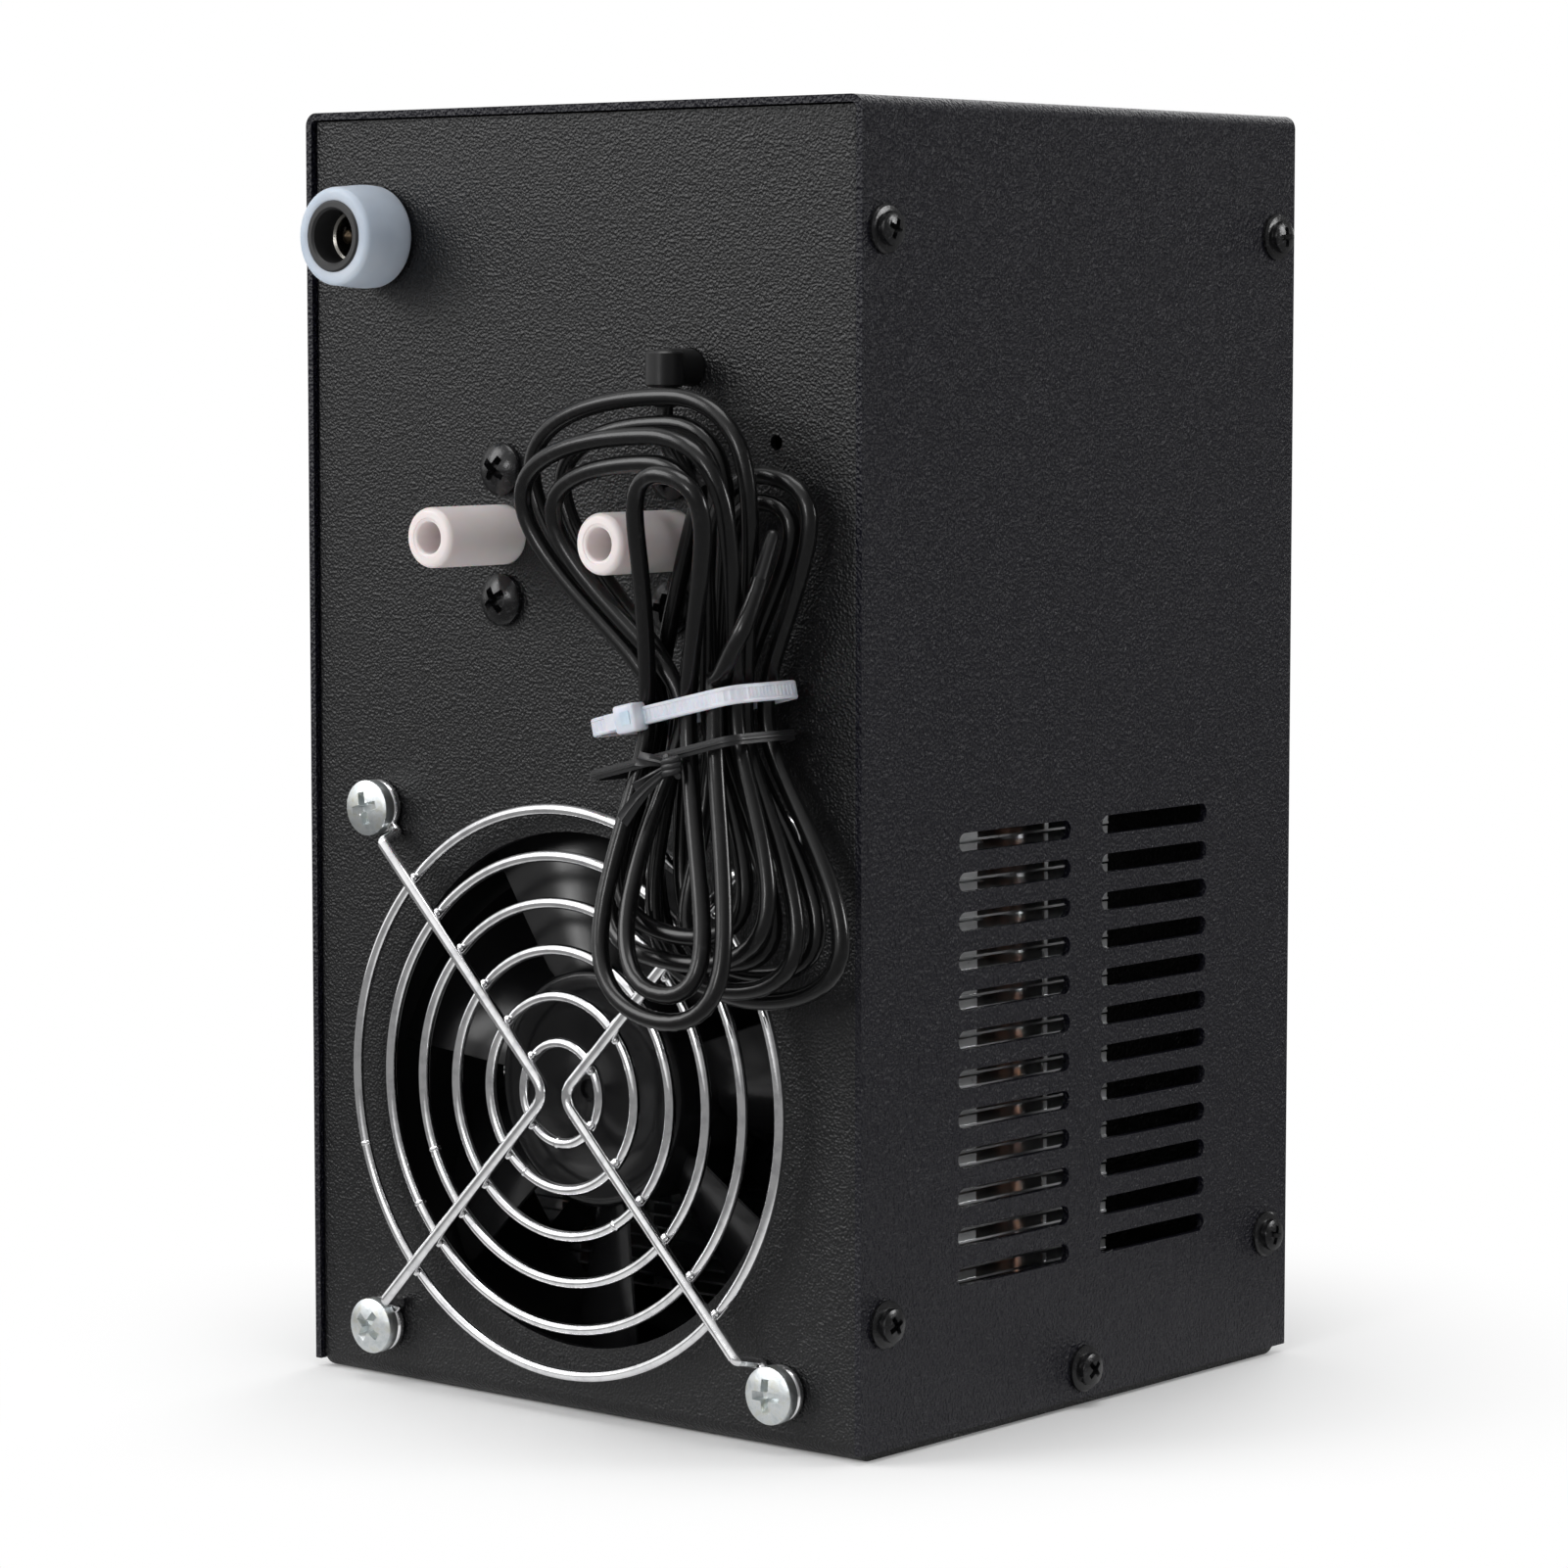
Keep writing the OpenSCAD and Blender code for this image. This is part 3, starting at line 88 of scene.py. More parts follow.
def settle(piece):
    # the modifiers' result becomes the piece's own mesh
    view = bpy.context.evaluated_depsgraph_get()
    made = bpy.data.meshes.new_from_object(piece.evaluated_get(view))
    old = piece.data
    piece.modifiers.clear()
    piece.data = made
    bpy.data.meshes.remove(old)
    return piece


def roundEdges(piece, width, steps=2, angle=32):
    bevel = piece.modifiers.new("edges", "BEVEL")
    bevel.width = width * mm
    bevel.segments = steps
    bevel.limit_method = "ANGLE"
    bevel.angle_limit = math.radians(angle)
    bevel.harden_normals = True
    bevel.use_clamp_overlap = True


def evenTurns(steps):
    return [2 * math.pi * k / steps for k in range(steps)]


def arcPoints(at, centre, radius, height, angles):
    return [at @ (Vector((centre[0] + radius * math.cos(a), centre[1] + radius * math.sin(a), height)) * mm)
            for a in angles]


def joinRings(b, low, high):
    # a band of faces from one ring of points to the next
    count = len(low)
    for k in range(count):
        b.faces.new((low[k], low[(k + 1) % count], high[(k + 1) % count], high[k]))


def turnProfile(b, profile, steps=64, closed=True, at=Matrix.Identity(4)):
    # a ring of points for each (radius, height) of the profile, joined to the next
    rings = []
    for radius, height in profile:
        if radius < 1e-6:
            rings.append([b.verts.new(at @ (Vector((0, 0, height)) * mm))])
        else:
            rings.append([b.verts.new(p) for p in arcPoints(at, (0, 0), radius, height, evenTurns(steps))])
    pairs = list(zip(rings[:-1], rings[1:]))
    if closed:
        pairs.append((rings[-1], rings[0]))
    for low, high in pairs:
        # a point on the axis makes triangles
        for k in range(steps):
            a, c = low[k % len(low)], low[(k + 1) % len(low)]
            d, e = high[(k + 1) % len(high)], high[k % len(high)]
            corners = list(dict.fromkeys((a, c, d, e)))
            if len(corners) > 2:
                b.faces.new(corners)


def arc(cx, cz, radius, fromAngle, toAngle, steps=5):
    found = []
    for k in range(steps + 1):
        a = math.radians(fromAngle + (toAngle - fromAngle) * k / steps)
        found.append((cx + radius * math.cos(a), cz + radius * math.sin(a)))
    return found


def addBox(b, size, at):
    made = bmesh.ops.create_cube(b, size=1.0)["verts"]
    bmesh.ops.scale(b, vec=Vector(size) * mm, verts=made)
    bmesh.ops.transform(b, matrix=at, verts=made)


def smoothPath(points, step):
    # even steps along a smooth line through the points
    found = []
    for i in range(len(points) - 1):
        p0 = points[i - 1] if i else points[0] * 2 - points[1]
        p1, p2 = points[i], points[i + 1]
        p3 = points[i + 2] if i + 2 < len(points) else points[-1] * 2 - points[-2]
        t1 = (p1 - p0).length ** 0.5
        t2 = t1 + (p2 - p1).length ** 0.5
        t3 = t2 + (p3 - p2).length ** 0.5
        count = max(1, round((p2 - p1).length / step))
        for k in range(count):
            t = t1 + (t2 - t1) * k / count
            a1 = p0 * ((t1 - t) / t1) + p1 * (t / t1)
            a2 = p1 * ((t2 - t) / (t2 - t1)) + p2 * ((t - t1) / (t2 - t1))
            a3 = p2 * ((t3 - t) / (t3 - t2)) + p3 * ((t - t2) / (t3 - t2))
            b1 = a1 * ((t2 - t) / t2) + a2 * (t / t2)
            b2 = a2 * ((t3 - t) / (t3 - t1)) + a3 * ((t - t1) / (t3 - t1))
            found.append(b1 * ((t2 - t) / (t2 - t1)) + b2 * ((t - t1) / (t2 - t1)))
    found.append(points[-1])
    return found


def roundCorners(points, radius, steps=8):
    # straight runs with an arc in each corner
    found = [points[0]]
    for before, corner, after in zip(points[:-2], points[1:-1], points[2:]):
        u, v = (before - corner).normalized(), (after - corner).normalized()
        half = u.angle(v) / 2
        most = min((before - corner).length, (after - corner).length) * 0.45
        reach = min(radius / math.tan(half), most)
        start, end = corner + u * reach, corner + v * reach
        for k in range(steps + 1):
            t = k / steps
            found.append(start * (1 - t) ** 2 + corner * (2 * t * (1 - t)) + end * t ** 2)
    found.append(points[-1])
    return found


def pathLength(points):
    return sum((q - p).length for p, q in zip(points[:-1], points[1:]))


def carriedFrames(path, closed=False):
    # point, way ahead and two side directions, carried along the path without twist
    last = len(path) - 1
    frames = []
    side = None
    for i, point in enumerate(path):
        if closed:
            ahead = (path[(i + 1) % len(path)] - path[i - 1]).normalized()
        else:
            ahead = (path[min(i + 1, last)] - path[max(i - 1, 0)]).normalized()
        if side is None:
            side = ahead.cross(Vector((0, 0, 1)) if abs(ahead.z) < 0.7 else Vector((1, 0, 0))).normalized()
        side = (side - ahead * side.dot(ahead)).normalized()
        frames.append((point, ahead, side, ahead.cross(side)))
    return frames


def sweepRound(b, path, radius, sides=12, closed=False, radiusAt=None):
    # radiusAt, where given, takes the share of the way from 0 to 1
    rings = []
    for i, (point, ahead, side, up) in enumerate(carriedFrames(path, closed)):
        r = (radiusAt(i / (len(path) - 1)) if radiusAt else radius) * mm
        rings.append([b.verts.new(point + side * (r * math.cos(a)) + up * (r * math.sin(a)))
                      for a in evenTurns(sides)])
    pairs = list(zip(rings[:-1], rings[1:]))
    if closed:
        pairs.append((rings[-1], rings[0]))
    for low, high in pairs:
        joinRings(b, low, high)
    if not closed:
        b.faces.new(rings[0][::-1])
        b.faces.new(rings[-1])


def copiesOf(mesh, places, name):
    # one piece with the mesh at each of the places
    b = bmesh.new()
    for place in places:
        part = bmesh.new()
        part.from_mesh(mesh)
        part.transform(place)
        spare = bpy.data.meshes.new("spare")
        part.to_mesh(spare)
        part.free()
        b.from_mesh(spare)
        bpy.data.meshes.remove(spare)
    made = bpy.data.meshes.new(name)
    b.to_mesh(made)
    b.free()
    return showMesh(made, name)


def finishPiece(piece, look, body, slot, *nodes):
    piece.data.materials.clear()
    piece.data.materials.append(looks[look])
    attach(piece, body)
    if nodes:
        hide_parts(*nodes)
    return piece


def dressed(b, name, look, slot, *nodes, body="case", sharpAngle=38):
    # the drawn shape becomes a piece with its finish, in place of the solids it stands for
    return finishPiece(showMesh(meshFrom(b, name, sharpAngle), name), look, body, slot, *nodes)


def mergedSolid(node):
    # a copy of the frame's solid with its flat faces merged
    b = bmesh.new()
    b.from_mesh(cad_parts[node].data)
    bmesh.ops.remove_doubles(b, verts=b.verts, dist=0.002 * mm)
    bmesh.ops.dissolve_limit(b, angle_limit=math.radians(0.5), verts=b.verts, edges=b.edges)
    return b


def coatedPiece(b, name, edge, steps=2):
    # edges rounded as a coating leaves them
    mesh = meshFrom(b, name)
    for layer in [a for a in mesh.attributes if a.name == "custom_normal"]:
        mesh.attributes.remove(layer)
    piece = showMesh(mesh, name)
    roundEdges(piece, edge, steps)
    return settle(piece)


# material helpers
def newLook(name, color, roughness, metallic=0.0, **sockets):
    look = bpy.data.materials.new(name)
    look.use_nodes = True
    shader = look.node_tree.nodes["Principled BSDF"]
    shader.inputs["Base Color"].default_value = (*color, 1)
    shader.inputs["Roughness"].default_value = roughness
    shader.inputs["Metallic"].default_value = metallic
    for socket, value in sockets.items():
        shader.inputs[socket.replace("_", " ")].default_value = value
    return look


def shaderOf(look):
    return look.node_tree.nodes["Principled BSDF"]


def addNode(look, kind, inputs=None, **settings):
    node = look.node_tree.nodes.new(kind)
    for key, value in settings.items():
        setattr(node, key, value)
    for key, value in (inputs or {}).items():
        node.inputs[key].default_value = value
    return node


def join(look, output, target):
    look.node_tree.links.new(output, target)


def surfacePlace(look, stretch=(1, 1, 1)):
    place = addNode(look, "ShaderNodeTexCoord")
    spread = addNode(look, "ShaderNodeMapping", {"Scale": stretch})
    join(look, place.outputs["Object"], spread.inputs["Vector"])
    return spread.outputs["Vector"]


def noiseOn(look, perMm, detail=2.0, rough=0.5, stretch=(1, 1, 1)):
    noise = addNode(look, "ShaderNodeTexNoise", {"Scale": perMm / mm, "Detail": detail, "Roughness": rough})
    join(look, surfacePlace(look, stretch), noise.inputs["Vector"])
    return noise.outputs["Fac"]


def cellsOn(look, perMm, feature="F1", stretch=(1, 1, 1)):
    cells = addNode(look, "ShaderNodeTexVoronoi", {"Scale": perMm / mm}, feature=feature)
    join(look, surfacePlace(look, stretch), cells.inputs["Vector"])
    return cells.outputs["Distance"]


def tint(look, source, stops):
    # colour stops along the source, from 0 to 1
    node = addNode(look, "ShaderNodeValToRGB")
    for k, (place, color) in enumerate(stops):
        point = node.color_ramp.elements[k] if k < 2 else node.color_ramp.elements.new(place)
        point.position = place
        point.color = (*color, 1)
    join(look, source, node.inputs["Fac"])
    join(look, node.outputs["Color"], shaderOf(look).inputs["Base Color"])


def gloss(look, source, low, high):
    # roughness between low and high
    spread = addNode(look, "ShaderNodeMapRange", {"To Min": low, "To Max": high})
    join(look, source, spread.inputs["Value"])
    join(look, spread.outputs["Result"], shaderOf(look).inputs["Roughness"])


def relief(look, layers):
    # layers of (height source, height in mm), one bump on the other
    below = None
    for source, height in layers:
        bump = addNode(look, "ShaderNodeBump", {"Strength": 1.0, "Distance": height * mm})
        join(look, source, bump.inputs["Height"])
        if below is not None:
            join(look, below, bump.inputs["Normal"])
        below = bump.outputs["Normal"]
    join(look, below, shaderOf(look).inputs["Normal"])


# camera, floor, backdrop and lights
def makeCamera():
    view = {"place": (0.45133, -0.54205, 0.14526), "turn": (84.804, 0.0, 40.005),
            "lens": 116.85, "sensor": 36}
    camera = bpy.data.objects.new("camera", bpy.data.cameras.new("camera"))
    bpy.context.scene.collection.objects.link(camera)
    camera.location = view["place"]
    camera.rotation_euler = [math.radians(a) for a in view["turn"]]
    camera.data.lens = view["lens"]
    camera.data.sensor_width = view["sensor"]
    bpy.context.scene.camera = camera


def makeFloor():
    # pale paper that keeps the shadow near the object and fades to white away from it;
    # metal and glass see it at the "mirrored" brightness
    floor = {"color": (0.97, 0.97, 0.97), "reach": 2.4, "fadeFrom": 0.045, "fadeTo": 0.13, "mirrored": 0.25,
             "mottle": 0.985, "mottlePerMm": 0.01}
    b = bmesh.new()
    bmesh.ops.create_circle(b, cap_ends=True, segments=96, radius=floor["reach"])
    ground = showMesh(meshFrom(b, "floor"), "floor")
    paper = newLook("floorPaper", floor["color"], 0.9)
    mottled = [c * floor["mottle"] for c in floor["color"]]
    tint(paper, noiseOn(paper, floor["mottlePerMm"]), [(0.0, floor["color"]), (1.0, mottled)])
    glow = addNode(paper, "ShaderNodeEmission", {"Color": (1, 1, 1, 1), "Strength": 1.0})
    mixed = addNode(paper, "ShaderNodeMixShader")
    place = addNode(paper, "ShaderNodeTexCoord")
    away = addNode(paper, "ShaderNodeVectorMath", operation="LENGTH")
    fade = addNode(paper, "ShaderNodeMapRange", {"From Min": floor["fadeFrom"], "From Max": floor["fadeTo"]},
                   interpolation_type="SMOOTHSTEP")
    rays = addNode(paper, "ShaderNodeLightPath")
    seen = addNode(paper, "ShaderNodeMath", operation="MAXIMUM")
    shown = addNode(paper, "ShaderNodeMath", operation="MULTIPLY")
    join(paper, place.outputs["Object"], away.inputs[0])
    join(paper, away.outputs["Value"], fade.inputs["Value"])
    join(paper, rays.outputs["Is Camera Ray"], seen.inputs[0])
    join(paper, rays.outputs["Is Glossy Ray"], seen.inputs[1])
    bright = addNode(paper, "ShaderNodeMapRange", {"To Min": 1.0, "To Max": floor["mirrored"]})
    join(paper, rays.outputs["Is Glossy Ray"], bright.inputs["Value"])
    join(paper, bright.outputs["Result"], glow.inputs["Strength"])
    join(paper, seen.outputs[0], shown.inputs[0])
    join(paper, fade.outputs["Result"], shown.inputs[1])
    join(paper, shown.outputs[0], mixed.inputs["Fac"])
    join(paper, shaderOf(paper).outputs["BSDF"], mixed.inputs[1])
    join(paper, glow.outputs["Emission"], mixed.inputs[2])
    join(paper, mixed.outputs["Shader"], paper.node_tree.nodes["Material Output"].inputs["Surface"])
    ground.data.materials.append(paper)


def makeLamps():
    aimAt = Vector((0, 0, 0.09))
    lamps = {
        "leftSoftbox": {"place": (-0.75, -0.85, 0.75), "size": 0.75, "power": 8.0},
        "rightFill": {"place": (0.9, 0.72, 0.42), "size": 0.3, "power": 3.4},
        "topStrip": {"place": (0.1, -0.1, 1.1), "size": 0.6, "power": 4.0},
        "frontStrip": {"place": (0.15, -1.1, 0.35), "size": 0.22, "power": 1.6},
        "backFill": {"place": (-0.35, 1.15, 0.55), "size": 0.7, "power": 4.0},
    }
    for name, lamp in lamps.items():
        light = bpy.data.lights.new(name, "AREA")
        light.size = lamp["size"]
        light.energy = lamp["power"]
        holder = bpy.data.objects.new(name, light)
        bpy.context.scene.collection.objects.link(holder)
        holder.location = lamp["place"]
        aim = aimAt - holder.location
        holder.rotation_euler = aim.to_track_quat("-Z", "Y").to_euler()


def makeSurround():
    # brightness of the surroundings: soft fill, as seen behind the object,
    # and as mirrored towards the window and away from it
    surround = {"fillStrength": 0.45, "shownStrength": 1.0, "window": (-0.75, -0.5, 0.45),
                "towards": 0.95, "away": 0.2, "dimFrom": -0.35, "brightFrom": 0.75}
    world = bpy.data.worlds.new("studio")
    bpy.context.scene.world = world
    world.use_nodes = True
    sky = world.node_tree
    backdrop = sky.nodes["Background"]
    backdrop.inputs["Color"].default_value = (1, 1, 1, 1)
    rays = sky.nodes.new("ShaderNodeLightPath")
    place = sky.nodes.new("ShaderNodeTexCoord")
    facing = sky.nodes.new("ShaderNodeVectorMath")
    facing.operation = "DOT_PRODUCT"
    facing.inputs[1].default_value = Vector(surround["window"]).normalized()
    mirrored = sky.nodes.new("ShaderNodeMapRange")
    mirrored.interpolation_type = "SMOOTHSTEP"
    mirrored.inputs["From Min"].default_value = surround["dimFrom"]
    mirrored.inputs["From Max"].default_value = surround["brightFrom"]
    mirrored.inputs["To Min"].default_value = surround["away"]
    mirrored.inputs["To Max"].default_value = surround["towards"]
    level = sky.nodes.new("ShaderNodeMapRange")
    level.inputs["To Min"].default_value = surround["fillStrength"]
    shown = sky.nodes.new("ShaderNodeMapRange")
    shown.inputs["To Max"].default_value = surround["shownStrength"]
    direct = sky.nodes.new("ShaderNodeMath")
    direct.operation = "MAXIMUM"
    sky.links.new(place.outputs["Generated"], facing.inputs[0])
    sky.links.new(facing.outputs["Value"], mirrored.inputs["Value"])
    sky.links.new(mirrored.outputs["Result"], level.inputs["To Max"])
    sky.links.new(rays.outputs["Is Glossy Ray"], level.inputs["Value"])
    sky.links.new(rays.outputs["Is Camera Ray"], direct.inputs[0])
    sky.links.new(rays.outputs["Is Transmission Ray"], direct.inputs[1])
    sky.links.new(direct.outputs[0], shown.inputs["Value"])
    sky.links.new(level.outputs["Result"], shown.inputs["To Min"])
    sky.links.new(shown.outputs["Result"], backdrop.inputs["Strength"])
    bpy.context.scene.view_settings.view_transform = "Standard"


makeCamera()
makeFloor()
makeLamps()
makeSurround()
print("studio ready")


# finishes
def wrinkleCoat(name, color, sheen=0.3, seed=0.0, depth=1.0):
    # depth makes the wrinkles deeper, seed moves them
    grain = {"cellsPerMm": 2.8, "cellHeight": 0.15, "wavePerMm": 2.5, "waveHeight": 0.07,
             "finePerMm": 7.0, "fineHeight": 0.014, "dustPerMm": 0.16, "dustShare": 0.022}
    look = newLook(name, color, 0.4, Specular_IOR_Level=sheen)
    cells = cellsOn(look, grain["cellsPerMm"], "SMOOTH_F1", (1, 1, 0.9 + seed))
    waves = noiseOn(look, grain["wavePerMm"], 3.0, 0.6)
    fine = noiseOn(look, grain["finePerMm"], 2.0)
    relief(look, [(waves, grain["waveHeight"] * depth), (cells, grain["cellHeight"] * depth),
                  (fine, grain["fineHeight"] * depth)])
    dust = cellsOn(look, grain["dustPerMm"], "F1", (1.1, 0.8, 1))
    pale = [min(1, c * 6 + 0.02) for c in color]
    tint(look, dust, [(0.0, pale), (grain["dustShare"], color)])
    gloss(look, noiseOn(look, 0.12, 3.0), 0.3, 0.4)
    return look


def brightWire(name):
    wire = {"color": (0.95, 0.95, 0.96), "dull": (0.74, 0.74, 0.76)}
    look = newLook(name, wire["color"], 0.14, 1.0)
    tint(look, noiseOn(look, 0.5, 4.0, 0.6), [(0.3, wire["dull"]), (0.55, wire["color"])])
    gloss(look, noiseOn(look, 1.5, 3.0), 0.04, 0.14)
    relief(look, [(noiseOn(look, 3.0, 2.0), 0.004)])
    return look


def zincPlate(name):
    zinc = {"color": (0.72, 0.75, 0.76), "haze": (0.5, 0.55, 0.56), "stain": (0.62, 0.62, 0.52)}
    look = newLook(name, zinc["color"], 0.3, 1.0)
    tint(look, noiseOn(look, 0.7, 4.0, 0.65),
         [(0.25, zinc["haze"]), (0.5, zinc["color"]), (0.75, zinc["stain"])])
    gloss(look, noiseOn(look, 2.2, 4.0), 0.22, 0.5)
    relief(look, [(noiseOn(look, 1.4, 4.0), 0.03), (noiseOn(look, 8.0, 2.0), 0.006)])
    return look


def blackedSteel(name):
    screw = {"color": (0.006, 0.006, 0.0068), "worn": (0.07, 0.07, 0.074)}
    look = newLook(name, screw["color"], 0.32, 0.3, Specular_IOR_Level=0.6)
    tint(look, noiseOn(look, 1.8, 5.0, 0.7), [(0.55, screw["color"]), (0.8, screw["worn"])])
    gloss(look, noiseOn(look, 3.0, 3.0), 0.14, 0.32)
    relief(look, [(noiseOn(look, 2.4, 4.0), 0.03)])
    return look


def mouldedPlastic(name, color, low, high, grainHeight=0.008, sheen=0.5, **sockets):
    look = newLook(name, color, (low + high) / 2, Specular_IOR_Level=sheen, **sockets)
    shade = [c * 0.82 for c in color]
    tint(look, noiseOn(look, 0.06, 3.0), [(0.3, shade), (0.7, color)])
    gloss(look, noiseOn(look, 0.5, 4.0), low, high)
    relief(look, [(noiseOn(look, 0.25, 2.0), grainHeight * 3), (noiseOn(look, 5.0, 3.0), grainHeight)])
    return look


def rolledMetal(name, color, low, high, along, streak=0.16, lift=0.01):
    # fine lines along one direction, from rolling or milling
    look = newLook(name, color, (low + high) / 2, 1.0)
    stretch = tuple(0.03 if a else 1.0 for a in along)
    dull = [c * (1 - streak) for c in color]
    tint(look, noiseOn(look, 2.2, 4.0, 0.6, stretch), [(0.3, dull), (0.7, color)])
    gloss(look, noiseOn(look, 1.0, 3.0), low, high)
    relief(look, [(noiseOn(look, 5.0, 2.0, 0.5, stretch), lift)])
    return look


def tarnishedCopper(name):
    copper = {"bright": (0.78, 0.36, 0.2), "brown": (0.36, 0.15, 0.08), "dark": (0.16, 0.07, 0.05)}
    look = newLook(name, copper["bright"], 0.3, 1.0)
    tint(look, noiseOn(look, 0.12, 5.0, 0.6),
         [(0.3, copper["dark"]), (0.48, copper["brown"]), (0.62, copper["bright"])])
    gloss(look, noiseOn(look, 0.8, 3.0), 0.2, 0.42)
    relief(look, [(noiseOn(look, 3.0, 3.0), 0.008)])
    return look


def leadPlastic(name):
    lead = {"color": (0.0035, 0.0035, 0.0037), "scuff": (0.018, 0.018, 0.019)}
    look = newLook(name, lead["color"], 0.25, Specular_IOR_Level=0.4)
    tint(look, noiseOn(look, 0.9, 6.0, 0.75), [(0.56, lead["color"]), (0.8, lead["scuff"])])
    gloss(look, noiseOn(look, 0.11, 3.0), 0.17, 0.28)
    relief(look, [(noiseOn(look, 0.35, 2.0), 0.04), (noiseOn(look, 4.5, 3.0), 0.006)])
    return look


def clearSilicone(name):
    rubber = {"pale": (0.55, 0.61, 0.69), "deep": (0.4, 0.46, 0.55)}
    look = newLook(name, rubber["pale"], 0.42, Specular_IOR_Level=0.4, Subsurface_Weight=0.35,
                   Subsurface_Scale=0.003, Transmission_Weight=0.12, IOR=1.41)
    shaderOf(look).inputs["Subsurface Radius"].default_value = (0.7, 0.9, 1.0)
    tint(look, noiseOn(look, 0.1, 3.0), [(0.3, rubber["deep"]), (0.7, rubber["pale"])])
    gloss(look, noiseOn(look, 0.7, 4.0), 0.34, 0.52)
    relief(look, [(noiseOn(look, 0.5, 3.0), 0.03), (noiseOn(look, 4.0, 2.0), 0.006)])
    return look


def milkyNylon(name):
    nylon = {"pale": (0.66, 0.68, 0.74), "deep": (0.54, 0.57, 0.65)}
    look = newLook(name, nylon["pale"], 0.35, Specular_IOR_Level=0.5, Subsurface_Weight=0.3,
                   Subsurface_Scale=0.002, Transmission_Weight=0.05, IOR=1.53)
    tint(look, noiseOn(look, 0.35, 3.0), [(0.3, nylon["deep"]), (0.62, nylon["pale"])])
    gloss(look, noiseOn(look, 1.5, 3.0), 0.25, 0.45)
    relief(look, [(noiseOn(look, 2.0, 2.0), 0.01)])
    return look


def fibreBoard(name):
    board = {"mask": (0.01, 0.11, 0.045), "track": (0.02, 0.2, 0.08), "cellsPerMetre": 260.0,
             "trackShare": 0.03}
    look = newLook(name, board["mask"], 0.3, Specular_IOR_Level=0.5)
    mask, track = (*board["mask"], 1), (*board["track"], 1)
    tracks = addNode(look, "ShaderNodeTexBrick", {
        "Scale": board["cellsPerMetre"], "Mortar Size": board["trackShare"],
        "Color1": mask, "Color2": mask, "Mortar": track})
    turned = addNode(look, "ShaderNodeMapping", {"Rotation": (math.radians(90), 0, 0)})
    place = addNode(look, "ShaderNodeTexCoord")
    join(look, place.outputs["Object"], turned.inputs["Vector"])
    join(look, turned.outputs["Vector"], tracks.inputs["Vector"])
    join(look, tracks.outputs["Color"], shaderOf(look).inputs["Base Color"])
    gloss(look, noiseOn(look, 0.8, 3.0), 0.22, 0.4)
    relief(look, [(tracks.outputs["Fac"], 0.02), (noiseOn(look, 1.4, 2.0), 0.006)])
    return look


def woundCopper(name):
    # the light and dark colours band with the turns' relief: the light colour is painted highlight on each
    # turn and the dark colour is painted shade in the grooves between turns
    coil = {"light": (0.55, 0.2, 0.08), "dark": (0.18, 0.06, 0.03), "turnsPerMm": 0.55}
    look = newLook(name, coil["light"], 0.3, 0.6)
    wave = addNode(look, "ShaderNodeTexWave", {"Scale": coil["turnsPerMm"] / mm, "Distortion": 1.2,
                                               "Detail": 1.0}, bands_direction="Y")
    join(look, surfacePlace(look), wave.inputs["Vector"])
    tint(look, wave.outputs["Fac"], [(0.2, coil["dark"]), (0.7, coil["light"])])
    relief(look, [(wave.outputs["Fac"], 0.08)])
    return look


def closedFoam(name, color):
    look = newLook(name, color, 0.85, Specular_IOR_Level=0.2)
    cells = cellsOn(look, 1.6, "F1")
    # cell pits keep the dark colour and the raised rims between them are lighter: painted shade in the pits,
    # following the relief
    tint(look, cells, [(0.1, color), (0.9, [c * 2.2 + 0.01 for c in color])])
    relief(look, [(cells, 0.12), (noiseOn(look, 4.0, 3.0), 0.03)])
    return look


def sinteredWhite(name):
    look = newLook(name, (0.82, 0.82, 0.78), 0.5)
    tint(look, noiseOn(look, 0.4, 5.0, 0.7), [(0.35, (0.72, 0.72, 0.68)), (0.6, (0.86, 0.86, 0.83))])
    gloss(look, noiseOn(look, 2.0, 3.0), 0.4, 0.6)
    relief(look, [(noiseOn(look, 3.0, 4.0), 0.02)])
    return look


